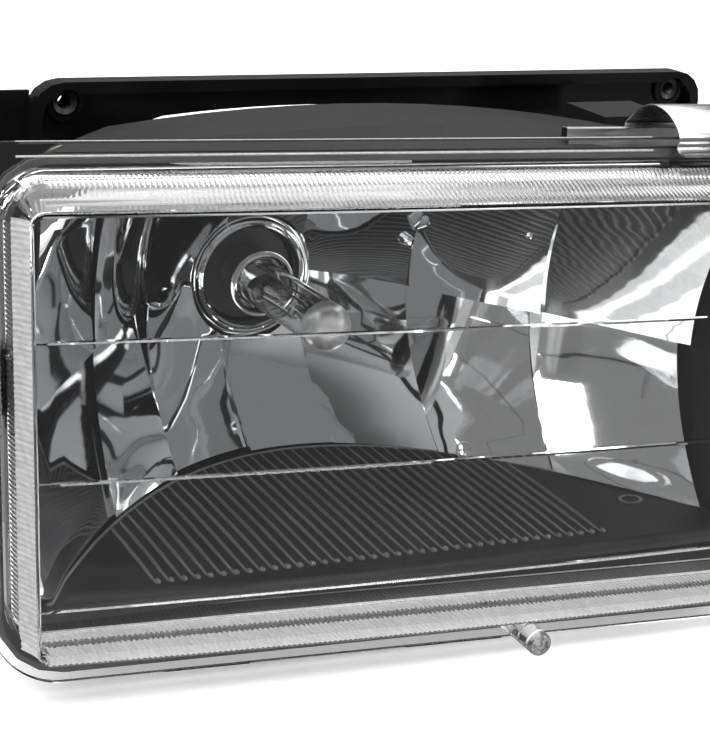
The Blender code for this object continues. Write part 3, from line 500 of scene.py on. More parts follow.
def close_end(bm, ring, outline, column, reach, side_start):
    """Fills between a column of the face's grid and the outline at its end, in bands."""
    side = range(side_start, side_start + SIDE_COUNT + 1)
    stops = []
    for vertex in column:
        up = (LENS_FRAME.inverted() @ vertex.co).z
        stops.append(min(side, key=lambda i: abs(outline[i % len(ring)].y - up)))
    stops = [reach[0]] + stops + [reach[-1]]
    inner = [None] + column + [None]
    for k in range(len(stops) - 1):
        band = [ring[i % len(ring)] for i in range(stops[k], stops[k + 1] + 1)]
        band += [vertex for vertex in (inner[k + 1], inner[k]) if vertex is not None]
        bm.faces.new(band)


def make_lens():
    """The clear moulding: creased face, fluted walls, smooth shoulder and flange."""
    bm = bmesh.new()
    rings = [lens_ring(*ring) for ring in LENS_OUTSIDE]
    rings += [lens_ring(*ring, lift=BOTTOM_WALL) for ring in LENS_INSIDE]
    made = skin(bm, rings)
    fill_face(bm, made[0], *LENS_OUTSIDE[0][:3], CREASE_DEPTH)
    fill_face(bm, made[-1], *LENS_INSIDE[-1][:3], 0.0, BOTTOM_WALL)
    piece("lens_moulding", bm, LENS_CLEAR, 14, replaces="lens")


# The lower wall's flutes: (depth, height over the face's bottom edge) from front to rear.
LOWER_FLUTES = {
    "front": ((0.9, 0.15), (6.0, 0.1), (10.6, 0.1)),
    "rear": ((14.8, 0.1), (18.0, 0.2), (22.0, 0.3)),
}
FOOT_RIBS = ((25.0, 0.3), (28.0, 0.6), (32.0, 0.9))  # the dark ribs behind them, under the bezel's lip
HIGHLIGHT_BEADS = ((23.6, 0.4), (24.5, 0.5), (33.0, 1.2))  # painted highlights: pale wires on the fine edges between the strips
BEAD_WIRE = 0.22
LOWER_FLUTE_DEPTH = 0.35
FLUTE_REACH = FACE_HALF - 3
STRAGGLE = 1.3  # how far the ends of the flutes stray


def floor_edge(across):
    """The height of the face's bottom edge."""
    share = (across / FACE_HALF + 1) / 2
    return FACE_BOTTOM[0] + (FACE_BOTTOM[1] - FACE_BOTTOM[0]) * share


def make_lower_flutes():
    """Two strips of flutes inside the lower wall, pale with painted light, with a ragged gap between them.
    """
    # the strips' pale colour is painted light for the bright table seen through the wall
    for name, section in LOWER_FLUTES.items():
        ragged = len(section) - 1 if name == "front" else 0
        bm = fluted_strip(section, ragged)
        piece(f"lens_lower_flutes_{name}", bm, FLUTE_PAINTED_LIGHT, 60)
    piece("bezel_foot_ribs", fluted_strip(FOOT_RIBS, None), RIB_BLACK, 60)
    # painted highlights: pale wires along the fine edges between the strips
    bm = bmesh.new()
    for depth, height in HIGHLIGHT_BEADS:
        line = spread(-FLUTE_REACH, FLUTE_REACH, 60)
        tube(bm, [lens_point(across, depth, floor_edge(across) + height) for across in line], BEAD_WIRE, 6)
    piece("lens_lower_painted_highlights", bm, FLUTE_PAINTED_LIGHT, 60)


def fluted_strip(section, ragged):
    """A strip along the lower wall, fluted across; the row with the number ragged strays."""
    steps = round(2 * FLUTE_REACH / FLUTE_PITCH) * FLUTE_SAMPLES
    rows = []
    for i, across in enumerate(spread(-FLUTE_REACH, FLUTE_REACH, steps)):
        wave = 0.5 - 0.5 * cos(2 * pi * i / FLUTE_SAMPLES)
        stray = STRAGGLE * (noise.noise(Vector((across * 1.7, 3.0, 0))) + wave * 0.8)
        row = []
        for k, (depth, height) in enumerate(section):
            spot = depth + stray if k == ragged else depth
            row.append(lens_point(across, spot, floor_edge(across) + height + wave * LOWER_FLUTE_DEPTH))
        rows.append(row)
    return skinned(rows, closed=False)


# The side walls' flutes, inside the clear wall: (depth, growth past the face's edge).
SIDE_FLUTE_LINE = ((1.6, -0.2), (4.2, 1.1), (9.4, 4.6))
SIDE_FLUTE_DEPTH = 0.3
SIDE_MARGIN = 2.0


def make_side_flutes():
    """Flutes in the lens's left and right walls, a fine line for each, pale with painted light."""
    low, high = max(FACE_BOTTOM) + SIDE_MARGIN, FACE_TOP - SIDE_MARGIN
    steps = round((high - low) / FLUTE_PITCH) * FLUTE_SAMPLES
    for sign, name in ((-1, "left"), (1, "right")):
        rows = []
        for i, up in enumerate(spread(low, high, steps)):
            wave = SIDE_FLUTE_DEPTH * (0.5 - 0.5 * cos(2 * pi * i / FLUTE_SAMPLES))
            rows.append([lens_point(sign * (FACE_HALF + growth * SIDE_SHARE - wave), depth, up)
                         for depth, growth in SIDE_FLUTE_LINE])
        # the pale colour is painted light for the brightness seen through the clear walls
        piece(f"lens_{name}_flutes", skinned(rows, closed=False), FLUTE_PAINTED_LIGHT, 60)


# Painted highlights, as pale wires, for the fine bright lines along the flange's front at the top: (depth,
# growth, wire).
FLANGE_HIGHLIGHT_LINES = ((17.9, 11.4, 0.32), (18.6, FLANGE_REACH, 0.16))
FLANGE_LINE_END = 64.0  # they stop short of the top clip


def make_flange_lines():
    """Painted highlights along the flange's edges at the top, as pale wires."""
    bm = bmesh.new()
    for depth, growth, wire in FLANGE_HIGHLIGHT_LINES:
        line = spread(-FACE_HALF, FLANGE_LINE_END, 40)
        tube(bm, [lens_point(across, depth, FACE_TOP + growth) for across in line], wire, 6)
    piece("lens_flange_painted_highlights", bm, FLUTE_PAINTED_LIGHT, 60)


PEG = Vector((22.8, -150.0, -60.0))
PEG_PROFILE = (
    (0, -8.0), (2.5, -8.0), (3.1, -7.7), (3.4, -7.0), (3.4, -1.6), (3.05, -1.2), (3.4, -0.8), (3.4, 6.0),
    (0, 6.0),
)
PEG_NUB = Vector((-4.6, 0.4, 1.2))  # from the peg
PEG_NUB_PROFILE = ((0, -1.2), (1.0, -1.0), (1.3, -0.4), (1.3, 4.0), (0, 4.0))


def make_peg():
    """The clear aiming peg on the lower wall, a rounded cylinder with a nub beside it."""
    bm = bmesh.new()
    turn_profile(bm, PEG_PROFILE, 40, PEG)
    turn_profile(bm, PEG_NUB_PROFILE, 16, PEG + PEG_NUB)
    piece("lens_peg", bm, PEG_CLEAR, 40)


MARK_UP = -5.2
MARK_DEPTH = -0.02  # just proud of the face
MARK_RADIUS = 2.1
MARK_ARM = 0.8 * MARK_RADIUS
MARK_WIRE = 0.26


def make_aim_mark():
    """The small circled cross moulded on the face's outside."""
    bm = bmesh.new()
    ring = [lens_point(MARK_RADIUS * c, MARK_DEPTH, MARK_UP + MARK_RADIUS * s) for c, s in circle(40)]
    tube(bm, ring + [ring[0]], MARK_WIRE)
    for across, up in ((MARK_ARM, 0), (0, MARK_ARM)):
        tube(bm, [lens_point(way * across, MARK_DEPTH, MARK_UP + way * up) for way in (-1, 1)], MARK_WIRE)
    piece("lens_aim_mark", bm, AIM_MARK, 40)


# ---- reflector

# Facet columns: where their edges are at the dish's bottom and top.
COLUMN_EDGES = (
    (-104.3, -104.3), (-68.0, -76.0), (-40.0, -47.0), (-11.0, -9.0), (17.5, 17.5), (47.0, 45.0),
    (75.0, 73.5), (104.3, 104.3),
)
# Each facet's slope across, slope up and bulge, in columns from the left, above and below the bulb's axis.
UPPER_FACETS = (
    (0.05, 0.12, 1.6), (0.05, 0.08, 1.2), (0.02, 0.05, 0.5), (0.0, 0.0, 0.3), (-0.02, 0.0, 0.6),
    (-0.06, 0.1, 0.8), (-0.1, 0.06, 0.8),
)
LOWER_FACETS = (
    (0.08, 0.0, 0.9), (0.05, 0.0, 0.4), (0.03, -0.12, 0.5), (0.0, 0.0, 0.3), (-0.05, 0.05, 0.8),
    (0.05, 0.1, 1.0), (0.02, 0.12, 0.8),
)
FLATNESS = (0.9, 0.85, 0.35, 0.0, 0.3, 0.85, 0.9)  # how flat each column is across
FACET_STEPS = 22
FACET_SPLIT = 0.0  # the height where the upper facets meet the lower
SKIRT = 2.5  # how far each facet's edges turn back
ROOF_TUCK = 6.0  # how far the roof's rear edge lies behind the facets
HOLE_RADIUS = 21.4


def lip_y(x):
    """The front of the bezel's lip."""
    share = (x - LIP_LEFT.x) / (LIP_RIGHT.x - LIP_LEFT.x)
    return LIP_LEFT.y + (LIP_RIGHT.y - LIP_LEFT.y) * share


def face_y(x, z):
    """The lens face's plane."""
    return FACE_Y + tan(SWEEP) * x - tan(RAKE) * z


def smooth_step(value, start, end):
    share = min(max((value - start) / (end - start), 0), 1)
    return share * share * (3 - 2 * share)


def cad_dish(x, z):
    """The reflector's surface as the CAD has it."""
    up = z / DISH_HALF_HEIGHT
    shoulder = SHOULDER * smooth_step(abs(x), SHOULDER_START, SHOULDER_END) * max(0.0, 1 - up * up)
    return -(x * x / DISH_WIDTH + DISH_RISE * up * up + shoulder)


def column_edge(edge, z):
    bottom, top = COLUMN_EDGES[edge]
    return bottom + (top - bottom) * (z - REFLECTOR_LOW) / (REFLECTOR_HIGH - REFLECTOR_LOW)


LIMIT_BLEND = 5.0


def soft_max(first, second):
    """The larger of two values, with the change from one to the other rounded."""
    near = max(LIMIT_BLEND - abs(first - second), 0.0) / LIMIT_BLEND
    return max(first, second) + near * near * LIMIT_BLEND / 4


def limit(y, x, z):
    """Keeps the dish behind the lens and the bezel's lip."""
    return soft_max(y, max(face_y(x, z) + 8.0, lip_y(x) + 6.0))


def facet(across, z, column, low, high, shape):
    """A point of a facet, across from -1 to 1."""
    slope_across, slope_up, bulge = shape
    left, right = column_edge(column, z), column_edge(column + 1, z)
    half = (right - left) / 2
    x = (left + right) / 2 + across * half
    up = (2 * z - low - high) / (high - low)
    flat = FLATNESS[column] * smooth_step(z, REFLECTOR_LOW, REFLECTOR_LOW + 9.0)
    chord = cad_dish(left, z) + (cad_dish(right, z) - cad_dish(left, z)) * (across + 1) / 2
    y = cad_dish(x, z) * (1 - flat) + chord * flat
    y += slope_across * across * half + slope_up * up * (high - low) / 2
    y -= bulge * (1 - across * across) * (1 - 0.5 * up * up)
    return Vector((x, limit(y, x, z), z))


def facet_patch(column, low, high, shape):
    """A facet's grid of points, its edges turned back."""
    back = Vector((0, SKIRT, 0))
    rows = []
    for z in spread(low, high, FACET_STEPS):
        row = [facet(across, z, column, low, high, shape) for across in spread(-1.0, 1.0, FACET_STEPS)]
        rows.append([row[0] + back] + row + [row[-1] + back])
    return [[point + back for point in rows[0]]] + rows + [[point + back for point in rows[-1]]]


def trim_hole(bm):
    """Opens the dish for the bulb and draws the opening's edge to a true circle."""
    hole = []
    for face in bm.faces:
        centre = face.calc_center_median()
        if hypot(centre.x, centre.z) < HOLE_RADIUS and centre.y > -30:
            hole.append(face)
    bmesh.ops.delete(bm, geom=hole, context="FACES")
    for vertex in bm.verts:
        spot = vertex.co
        away = hypot(spot.x, spot.z)
        if 1 < away < HOLE_RADIUS + 2 and spot.y > -30 and vertex.is_boundary:
            old = cad_dish(spot.x, spot.z)
            spot.x *= HOLE_RADIUS / away
            spot.z *= HOLE_RADIUS / away
            spot.y += cad_dish(spot.x, spot.z) - old


def make_reflector():
    """The dish: two rows of facets with a step between each, open round the bulb."""
    bm = bmesh.new()
    halves = ((REFLECTOR_LOW, FACET_SPLIT, LOWER_FACETS), (FACET_SPLIT, REFLECTOR_HIGH, UPPER_FACETS))
    for column in range(len(COLUMN_EDGES) - 1):
        for low, high, shapes in halves:
            skin(bm, facet_patch(column, low, high, shapes[column]), closed=False)
    trim_hole(bm)
    piece("reflector_facets", bm, REFLECTOR_CHROME, 20, replaces="reflector")


NUBS = (Vector((41.0, -34.5, 17.7)), Vector((70.0, -59.7, 25.0)))
NUB_PROFILE = ((0, -1.6), (1.2, -1.4), (1.7, -0.6), (1.9, 0.6), (2.2, 3.0), (0, 3.0))


def make_reflector_nubs():
    """The small round bosses high on the dish, right of the bulb."""
    bm = bmesh.new()
    for centre in NUBS:
        turn_profile(bm, NUB_PROFILE, 20, centre)
    piece("reflector_nubs", bm, REFLECTOR_CHROME, 30)


def make_reflector_roof():
    """The satin roof from the dish's top forward to the lens, with a turned-up front edge."""
    thick = 1.6
    rows = []
    for x in spread(-REFLECTOR_HALF, REFLECTOR_HALF, 64):
        rear = limit(cad_dish(x, REFLECTOR_HIGH) + ROOF_TUCK, x, REFLECTOR_HIGH)
        front = face_y(x, REFLECTOR_HIGH) + 5.5
        profile = [(rear, 0.0), (front + 1.2, 0.3), (front + 0.3, 0.5), (front, 1.1), (front + 0.2, 1.8),
                   (front + 1.4, 0.3 + thick), (rear, thick)]
        rows.append([(x, y, REFLECTOR_HIGH + up) for y, up in profile])
    piece("reflector_roof", skinned(rows, capped=True), ROOF_SATIN, 40)


def make_reflector_neck():
    """The stepped rings round the bulb's hole, and the neck behind."""
    bm = bmesh.new()
    turn_profile(bm, (
        (16.4, 16.0), (21.4, 16.0), (21.4, 2.0), (22.6, 1.0), (22.4, -3.2), (21.9, -4.0), (21.3, -4.3),
        (21.0, -5.2), (20.4, -5.9), (19.9, -5.5), (19.5, -6.3), (18.9, -6.9), (18.4, -6.4), (18.0, -6.9),
        (17.4, -7.1), (16.8, -6.6), (16.5, -5.6)), 96, closed=True)
    piece("reflector_neck", bm, REFLECTOR_CHROME, 25)


# ---- bezel

BEZEL_HALF = 108.2
LIP_DROP = 3.6
LIP_RADIUS = 2.6
FLOOR_THICK = 2.0
RIBS = 38
RIB_PITCH = 3.67
FIRST_RIB = -71.3
RIB_HEIGHT = 0.8
RIB_HALF = 0.5
RIB_FRONTS = (-110.7, -122.1)  # where the first and the last rib begin
NUB = ((0, -0.9), (0.55, -0.75), (0.85, -0.2), (0.75, 0.6), (0, 0.8))  # the rounded front end of a rib


def floor_rear(x):
    """Where the floor ends, just short of the reflector."""
    reach = REFLECTOR_HALF - 0.5
    inside = max(-reach, min(reach, x))
    return max(cad_dish(inside, FLOOR_TOP), lip_y(x) + 6.0) - 1.8


def make_bezel():
    """The floor with its rounded lip."""
    rows = []
    for x in spread(-BEZEL_HALF, BEZEL_HALF, 80):
        lip, rear = lip_y(x), floor_rear(x)
        low, under = FLOOR_TOP - LIP_DROP, FLOOR_TOP - FLOOR_THICK
        section = [(rear, FLOOR_TOP), (lip + LIP_RADIUS, FLOOR_TOP)]
        for angle in spread(0.0, pi / 2, 5)[1:]:
            section.append((lip + LIP_RADIUS * (1 - sin(angle)),
                            FLOOR_TOP - LIP_RADIUS * (1 - cos(angle))))
        section += [(lip, low), (lip + FLOOR_THICK, low), (lip + FLOOR_THICK, under), (rear, under)]
        rows.append([(x, y, z) for y, z in section])
    bm = skinned(rows, capped=True)
    piece("bezel_floor", bm, BEZEL_BLACK, 40, replaces="bezel")


def make_bezel_ribs():
    """Ribs that run back from a line along the lip to the reflector's foot."""
    bm = bmesh.new()
    for i in range(RIBS):
        x = FIRST_RIB + RIB_PITCH * i
        front = RIB_FRONTS[0] + (RIB_FRONTS[1] - RIB_FRONTS[0]) * i / (RIBS - 1)
        rear = floor_rear(x) - 0.6
        steps = 24
        rows = []
        for k, y in enumerate(spread(front, rear, steps)):
            lift = RIB_HEIGHT * min(1.0, 0.15 + 3.0 * min(k, steps - k) / steps)
            shape = ((-1, -0.1), (-0.55, lift * 0.8), (0, lift), (0.55, lift * 0.8), (1, -0.1))
            rows.append([(x + RIB_HALF * share, y, FLOOR_TOP + up) for share, up in shape])
        skin(bm, rows, capped=True)
        turn_profile(bm, NUB, 12, (x + 0.5, front - 0.2, FLOOR_TOP + 0.2))
    piece("bezel_ribs", bm, RIB_BLACK, 60)


DIMPLE = Vector((87.0, -105.6, FLOOR_TOP))
DIMPLE_REACH = (4.2, 3.2)
DIMPLE_LOOPS = ((1.0, 0.12), (0.86, 0.3), (0.7, 0.1))  # share of the reach, height


def make_bezel_dimple():
    """The low oval rim round the blind hole near the floor's right end."""
    wide, deep = DIMPLE_REACH
    rows = [[DIMPLE + Vector((wide * share * c, deep * share * s, height)) for c, s in circle(28)]
            for share, height in DIMPLE_LOOPS]
    piece("bezel_dimple", skinned(rows), RIB_BLACK, 40)


def make_bezel_rear_edge():
    """The thin paler line where the floor ends against the reflector."""
    bm = bmesh.new()
    tube(bm, [(x, floor_rear(x), FLOOR_TOP + 0.1) for x in spread(-102.0, 103.0, 120)], 0.45, 6)
    piece("bezel_rear_edge", bm, BEZEL_EDGE, 60)


def make_bezel_sides():
    """The upright walls at the bezel's ends."""
    for sign, name in ((-1, "left"), (1, "right")):
        inner, outer = 106.7, 107.8
        x = sign * inner
        profile = [
            (lip_y(x) + 1, -49.0), (-108.5, -49.0), (-106.5, -30.0), (-106.5, 20.0),
            (max(face_y(x, 50) + 11.5, -112.5), 50.0), (face_y(x, 50) + 9.5, 50.0),
        ]
        rows = [[(sign * reach, y, z) for y, z in profile] for reach in (inner, outer)]
        piece(f"bezel_side_{name}", skinned(rows, capped=True), BEZEL_BLACK, 40)


# ---- bulb

TUBE_RADIUS = 7.4
BULB_TILT = 0.024  # the glass rises a little towards its tip
TILT_START = -12.0


def tilt_up(bm):
    """Tips a bulb piece up about the collar."""
    for vertex in bm.verts:
        vertex.co.z += BULB_TILT * max(0.0, TILT_START - vertex.co.y)
    return bm


GLASS_WALL = 0.9
GLASS_REAR = -9.0
DOME_CENTRE = -CAPSULE_REACH + TUBE_RADIUS
PAINT_UNDER, PAINT_OVER = 0.02, 0.12  # how far the paint's two sides stand off the glass
PAINT_EDGE = DOME_CENTRE + 1.6


def dome(radius, steps):
    """The (radius, y) points round the capsule's end, from the tube to the tip."""
    angles = spread(0.0, pi / 2, steps)[:-1]
    points = [(radius * cos(angle), DOME_CENTRE - radius * sin(angle)) for angle in angles]
    return points + [(0, DOME_CENTRE - radius)]


def make_capsule():
    """The glass tube, and the painted tip over its round end."""
    inner = TUBE_RADIUS - GLASS_WALL
    bm = bmesh.new()
    rear = [(inner, GLASS_REAR), (TUBE_RADIUS, GLASS_REAR)]
    turn_profile(bm, dome(inner, 12)[::-1] + rear + dome(TUBE_RADIUS, 12), 64)
    piece("bulb_tube", tilt_up(bm), BULB_GLASS, 60, "bulb", replaces="bulb_capsule")
    under, over = TUBE_RADIUS + PAINT_UNDER, TUBE_RADIUS + PAINT_OVER
    bm = bmesh.new()
    turn_profile(bm, dome(under, 16)[::-1] + [(under, PAINT_EDGE), (over, PAINT_EDGE)] + dome(over, 16), 64)
    piece("bulb_tip", tilt_up(bm), TIP_PAINT, 60, "bulb")


def make_collar():
    """The bright collar with rolled edge that grips the glass, and its inner cup."""
    bm = bmesh.new()
    turn_profile(bm, (
        (7.6, -2.0), (9.6, -2.0), (9.6, -11.6), (10.2, -12.2), (10.9, -13.4), (10.9, -14.8), (10.3, -15.7),
        (9.6, -16.0), (9.1, -15.5), (8.8, -14.2), (8.5, -12.6), (7.6, -12.2)), 72, closed=True)
    piece("bulb_collar_ring", bm, COLLAR_CHROME, 35, "bulb", replaces="bulb_collar")
    bm = bmesh.new()
    for i in range(3):
        angle = 2 * pi * i / 3 + 0.5
        path = []
        for k, radius in enumerate(spread(9.3, 7.3, 7)):
            turn = angle + 0.05 * k
            path.append((radius * cos(turn), -13.4 - 0.35 * k, radius * sin(turn)))
        tube(bm, path, 0.35)
    piece("bulb_collar_tabs", bm, COLLAR_CHROME, 60, "bulb")


FILAMENTS = {"low": (0, -51, 1.6), "high": (0, -43, -1.8)}  # the coils' middles
COIL_LENGTH = 5
COIL_RADIUS = 0.5
COIL_WIRE = 0.13
COIL_TURNS = 11


def make_filaments():
    """Two fine coils along Y."""
    steps = COIL_TURNS * 12
    for name, (x, y, z) in FILAMENTS.items():
        path = []
        for i in range(steps + 1):
            angle = 2 * pi * COIL_TURNS * i / steps
            path.append((x + COIL_RADIUS * cos(angle), y + COIL_LENGTH * (i / steps - 0.5),
                         z + COIL_RADIUS * sin(angle)))
        bm = bmesh.new()
        tube(bm, path, COIL_WIRE, 6)
        piece(f"{name}_filament_coil", tilt_up(bm), WIRE, 60, "bulb", replaces=f"{name}_beam_filament")


# Each lead's wires: (radius, path).
LEADS = {
    "low_beam": (
        (0.34, ((0.0, -6, 4.4), (0.2, -20, 4.5), (-0.2, -32, 4.2), (0.3, -44, 4.4), (0.2, -57, 4.1),
                (0.1, -58.4, 2.6), (0.0, -54.2, 1.7))),
    ),
    "common": (
        (0.34, ((3.4, -6, 0.2), (3.5, -22, -0.4), (3.1, -34, 0.5), (2.2, -44, 0.2), (0.8, -47.6, 0.9),
                (0.2, -48.2, 1.5))),
        (0.3, ((2.2, -44, 0.2), (1.3, -46.6, -1.0), (0.1, -45.8, -1.7))),
    ),
    "high_beam": (
        (0.34, ((-0.4, -6, -4.4), (-0.2, -20, -4.6), (0.2, -30, -4.2), (0.2, -38, -4.4), (0.0, -39.4, -3.0),
                (0.0, -40.2, -1.9))),
    ),
}
# The pinched stem: (y, half width, half thickness).
PINCH = (
    (-9.2, 5.8, 4.6), (-14, 5.6, 4.2), (-19, 5.6, 3.0), (-24, 5.4, 2.2), (-28, 4.8, 1.9), (-31, 3.4, 1.5),
    (-32.4, 1.4, 0.8),
)


def make_leads():
    """The bent wires in the bulb."""
    for name, wires in LEADS.items():
        bm = bmesh.new()
        for radius, path in wires:
            tube(bm, path, radius)
        piece(f"{name}_wire", tilt_up(bm), WIRE, 60, "bulb", replaces=f"{name}_lead")


def make_pinch():
    """The pressed glass stem that the wires come out of, a little uneven."""
    rows = []
    for y, wide, thick in PINCH:
        row = []
        for c, s in circle(40):
            ripple = 1 + 0.1 * noise.noise(Vector((c * 2, y * 0.35, s * 2)))
            row.append((wide * c * ripple, y, thick * s * ripple))
        rows.append(row)
    piece("bulb_pinch", tilt_up(skinned(rows, capped=True)), BULB_GLASS, 60, "bulb")


# ---- clips

CLIP_PLACES = {"top": (84.0, 13.0), "left": (12.0, 10.0), "right": (12.0, 10.0)}  # centre, half width
CLIP_PROFILE = (
    (45.9, -2.6), (45.9, 1.8), (44.6, 3.2), (41.0, 5.4), (36.0, 7.3), (31.0, 8.0), (26.0, 7.3), (21.5, 5.4),
    (17.8, 2.6), (15.8, -0.4), (16.9, -2.8), (15.2, -4.4), (12.6, -4.9),
)
CLIP_HALF_THICKNESS = 0.35
SIDE_LIP_SHARE = 0.6  # the side clips' front lips are shorter than the top one's
TOP_FOOT = -1.9  # the height of the top clip's foot over the flange's edge


def make_rail_plate():
    """The satin steel facing on the top rail that the top clip's foot hooks over."""
    left, right, near, far = 50.0, 99.0, 41.75, 45.0
    low, high = 69.0, FACE_TOP + FLANGE_REACH + 1.1
    section = ((near, low), (near, high - 0.3), (near + 0.3, high), (far, high), (far, high - 0.2),
               (near + 0.45, high - 0.2), (near + 0.2, high - 0.45), (near + 0.2, low))
    rows = [[LENS_FRAME @ Vector((across, depth, up)) for depth, up in section] for across in (left, right)]
    piece("clip_rail_facing", skinned(rows, capped=True), RAIL_STEEL, 30)


def spline_points(points, per_span):
    """A smooth curve through points."""
    out = []
    for i in range(len(points) - 1):
        before = Vector(points[max(i - 1, 0)])
        here, there = Vector(points[i]), Vector(points[i + 1])
        after = Vector(points[min(i + 2, len(points) - 1)])
        for k in range(per_span):
            t = k / per_span
            slope = there - before
            bend = 2 * before - 5 * here + 4 * there - after
            twist = 3 * here - before - 3 * there + after
            out.append(0.5 * (2 * here + slope * t + bend * t * t + twist * t * t * t))
    out.append(Vector(points[-1]))
    return out


def make_clip(side):
    """A rounded spring strip bent round the flange; side is top, left or right."""
    reach_top = FACE_TOP + FLANGE_REACH
    reach_side = FACE_HALF + FLANGE_REACH * SIDE_SHARE
    way = -1 if side == "left" else 1
    centre, half = CLIP_PLACES[side]
    points = [Vector(point) for point in CLIP_PROFILE]
    if side == "top":
        points[0].y = TOP_FOOT
    else:
        points = [Vector((d, o * SIDE_LIP_SHARE)) if o < 0 and d < 20 else Vector((d, o)) for d, o in points]
    line = spline_points(points, 6)
    rows = []
    thick, edge = CLIP_HALF_THICKNESS, half - 0.3
    section = [(-half, -thick / 2), (-edge, -thick), (0.0, -thick), (edge, -thick), (half, -thick / 2)]
    section += [(along, -out) for along, out in section[::-1]]
    for i, point in enumerate(line):
        ahead = (line[min(i + 1, len(line) - 1)] - line[max(i - 1, 0)]).normalized()
        normal = Vector((-ahead.y, ahead.x))
        row = []
        for along, out in section:
            spot = point + normal * out
            if side == "top":
                local = (centre + along, spot.x, reach_top + spot.y)
            else:
                local = (way * (reach_side + spot.y), spot.x, centre + along)
            row.append(LENS_FRAME @ Vector(local))
        rows.append(row)
    bm = skinned(rows, capped=True)
    piece(f"clip_{side}_strip", bm, CLIP_STEEL, 50, f"clip_{side}", replaces=f"lens_clip_{side}")


# ---- threaded bushes in the panel

THREAD_PITCH = 0.8
BORE_RADIUS = 2.1
SLEEVE = 5.0  # how far the bush reaches out behind the panel


def make_bush(corner):
    """A dark threaded bush, in the place of the panel's plain one."""
    node = f"mount_bush_{corner}"
    low, high = (Vector(point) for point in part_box(node))
    centre = TO_FRAME.inverted() @ ((low + high) / 2)
    half = (high.y - low.y) / 2 / MM
    front, rear = centre.y - half, centre.y + half
    outer = (high.x - low.x) / 2 / MM
    profile = [(outer - 0.3, front), (outer, front + 0.3), (outer, rear + 0.1), (outer + 1.6, rear + 0.3),
               (outer + 1.6, rear + 1.2), (outer, rear + 1.6), (outer, rear + SLEEVE)]
    rear += SLEEVE
    turns = int((rear - front) / THREAD_PITCH)
    for k in range(turns):
        y = rear - 0.2 - k * THREAD_PITCH
        profile += [(BORE_RADIUS + 0.4, y), (BORE_RADIUS, y - THREAD_PITCH / 2)]
    bm = bmesh.new()
    turn_profile(bm, profile, 32, (centre.x, 0, centre.z), closed=True)
    piece(f"threaded_bush_{corner}", bm, DARK_STEEL, 40, "panel", replaces=node)


# ---- carried-over CAD nodes

CARRIED = (
    (HOUSING_BLACK, ("housing",)),
    (PANEL_BLACK, ("mounting_panel",)),
    (RUBBER, ("lens_gasket", "neck_seal", "vent_cap", "bulb_o_ring")),
    (BULB_BASE, ("bulb_base",)),
    (RING_GREY, ("retaining_ring",)),
    (TERMINAL, ("bulb_terminal_1", "bulb_terminal_2", "bulb_terminal_3")),
    (SCREW_STEEL, ("reflector_screw_1", "reflector_screw_2", "reflector_screw_3", "pivot_ball_stud",
                   "vertical_adjuster_screw", "horizontal_adjuster_screw")),
    (NYLON, ("pivot_socket", "vertical_adjuster_socket", "vertical_adjuster_nut",
             "horizontal_adjuster_socket", "horizontal_adjuster_nut")),
)
EDGE_ROUNDING = {"housing": 0.5, "mounting_panel": 0.7, "bulb_base": 0.3, "retaining_ring": 0.4}
SLIGHT_ROUNDING = 0.15
SHARP_EDGE = 32


def finish_cad_node(name, finish):
    """Gives a CAD node its material and softly rounded edges."""
    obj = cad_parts[name]
    obj.data.materials.clear()
    obj.data.materials.append(finish)
    bevel = obj.modifiers.new("soft_edges", "BEVEL")
    bevel.width = EDGE_ROUNDING.get(name, SLIGHT_ROUNDING) * MM
    bevel.segments = 2
    bevel.limit_method = "ANGLE"
    bevel.angle_limit = radians(SHARP_EDGE)
    bevel.harden_normals = True
    smooth(obj.data, SHARP_EDGE)


# ---- table, lights, camera

CAMERA_PLACE = (-223.1, -489.0, 165.0)
CAMERA_AXES = (
    (0.8878, 0.0954, -0.4502),
    (-0.4537, 0.3455, -0.8214),
    (0.0772, 0.9336, 0.3500),
)
FOCAL = 81.6
SHIFT = 5.0 / 750
WHITE = (1, 1, 1, 1)
ROOM_GLOW = 0.23  # how bright the walls of the room look in the chrome
TABLE_WHITE = 0.9  # the table as it is seen, straight or through a clear piece
TABLE_GREY = 0.22  # the table as the pieces mirror it, so that it doesn't veil them
TABLE_PAINTED_GLOW = 0.4  # painted light: a glow on the table as seen, which lifts the shadow under the lamp
# Each light's name, place, aim, size and power, in metres and watts.
LIGHTS = (
    ("overhead", (0.0, 0.55, 1.1), (0.0, 0.55, 0.0), (2.2, 2.0), 34),
    ("front_top", (-0.1, -0.7, 0.85), (0.0, -0.15, 0.0), (0.9, 0.3), 7),
    ("left_box", (-0.95, -0.3, 0.35), (0.0, -0.1, 0.07), (0.3, 0.3), 2.5),
    ("right_box", (0.85, -0.6, 0.5), (0.02, -0.1, 0.07), (0.25, 0.3), 3),
)


def make_camera():
    camera = bpy.data.cameras.new("camera")
    camera.sensor_width = 36
    camera.lens = FOCAL
    camera.shift_y = SHIFT
    camera.clip_start = 0.01
    obj = add_object("camera", camera)
    axes = Matrix(CAMERA_AXES).to_quaternion().to_matrix().to_4x4()
    obj.matrix_world = Matrix.Translation(TO_FRAME @ Vector(CAMERA_PLACE)) @ axes
    bpy.context.scene.camera = obj


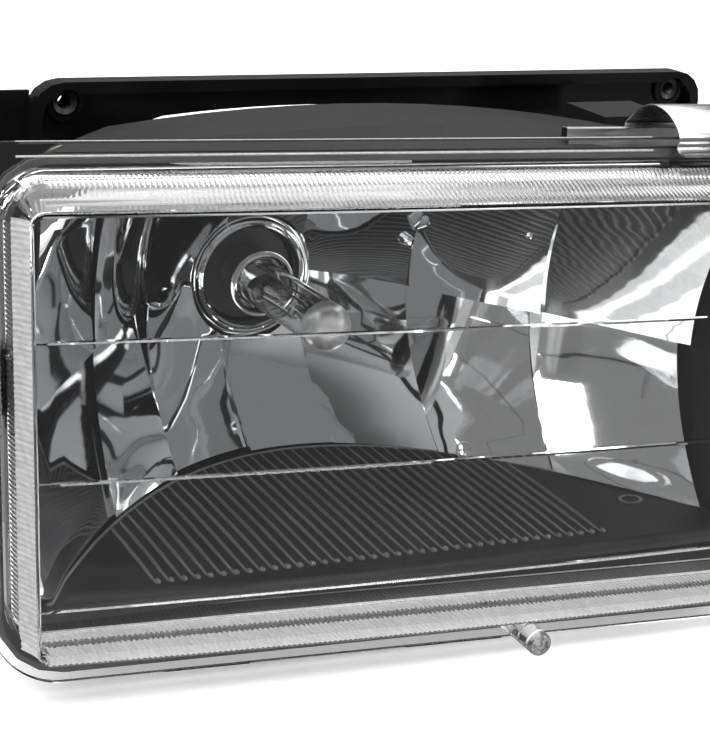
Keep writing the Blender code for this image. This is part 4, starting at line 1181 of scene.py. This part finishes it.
def make_table():
    """A white table that ends a little in front of the lamp, as a product table does."""
    bm = bmesh.new()
    left, right, front, rear, corner = -1.4, 1.4, -0.3, 2.2, 0.12
    outline = []
    for x, y, start in ((right, rear, 0), (left, rear, 90), (left, front, 180), (right, front, 270)):
        centre = Vector((x - copysign(corner, x), y - copysign(corner, y - 1), 0))
        for k in range(9):
            angle = radians(start + 90 * k / 8)
            outline.append(bm.verts.new(centre + Vector((cos(angle), sin(angle), 0)) * corner))
    bm.faces.new(outline)
    mesh = bpy.data.meshes.new("table")
    bm.to_mesh(mesh)
    bm.free()
    nodes = Nodes(bpy.data.materials.new("table_white"))
    nodes.shade(Base_Color=(TABLE_GREY, TABLE_GREY, TABLE_GREY, 1), Roughness=0.7)
    # the table's glow is painted light, lifting the shadow under the lamp
    nodes.bright_when_seen(TABLE_WHITE, TABLE_PAINTED_GLOW)
    mesh.materials.append(nodes.owner)
    obj = add_object("table", mesh)


def area_light(name, spot, aim, size, power):
    light = bpy.data.lights.new(name, "AREA")
    light.shape = "RECTANGLE"
    light.size, light.size_y = size
    light.energy = power
    obj = add_object(name, light)
    obj.location = spot
    obj.rotation_euler = (Vector(aim) - Vector(spot)).to_track_quat("-Z", "Y").to_euler()


def make_lights():
    """The studio's lights and its room, which the camera sees as plain white."""
    nodes = Nodes(bpy.data.worlds.new("studio"))
    room = nodes.tree.nodes["Background"]
    nodes.put(room, {"Color": WHITE, "Strength": ROOM_GLOW})
    backdrop = nodes.add("Background", "Background", {"Color": WHITE, "Strength": 1.0})
    seen = nodes.add("LightPath", "Is Camera Ray", {})
    mixed = nodes.add("MixShader", "Shader", {"Fac": seen, 1: room.outputs["Background"], 2: backdrop})
    nodes.put(nodes.tree.nodes["World Output"], {"Surface": mixed})
    bpy.context.scene.world = nodes.owner
    bpy.context.scene.view_settings.view_transform = "Standard"
    for light in LIGHTS:
        area_light(*light)


def main():
    for make in (
        make_camera, make_table, make_lights, make_lens, make_lower_flutes, make_side_flutes,
        make_flange_lines, make_peg, make_aim_mark, make_reflector, make_reflector_nubs,
        make_reflector_roof, make_reflector_neck, make_bezel, make_bezel_ribs, make_bezel_rear_edge,
        make_bezel_dimple, make_bezel_sides, make_capsule, make_collar, make_filaments, make_leads,
        make_pinch,
    ):
        make()
    for corner in ("top_left", "top_right", "bottom_left", "bottom_right"):
        make_bush(corner)
    make_rail_plate()
    for side in CLIP_PLACES:
        make_clip(side)
    for finish, names in CARRIED:
        for name in names:
            finish_cad_node(name, finish)


main()
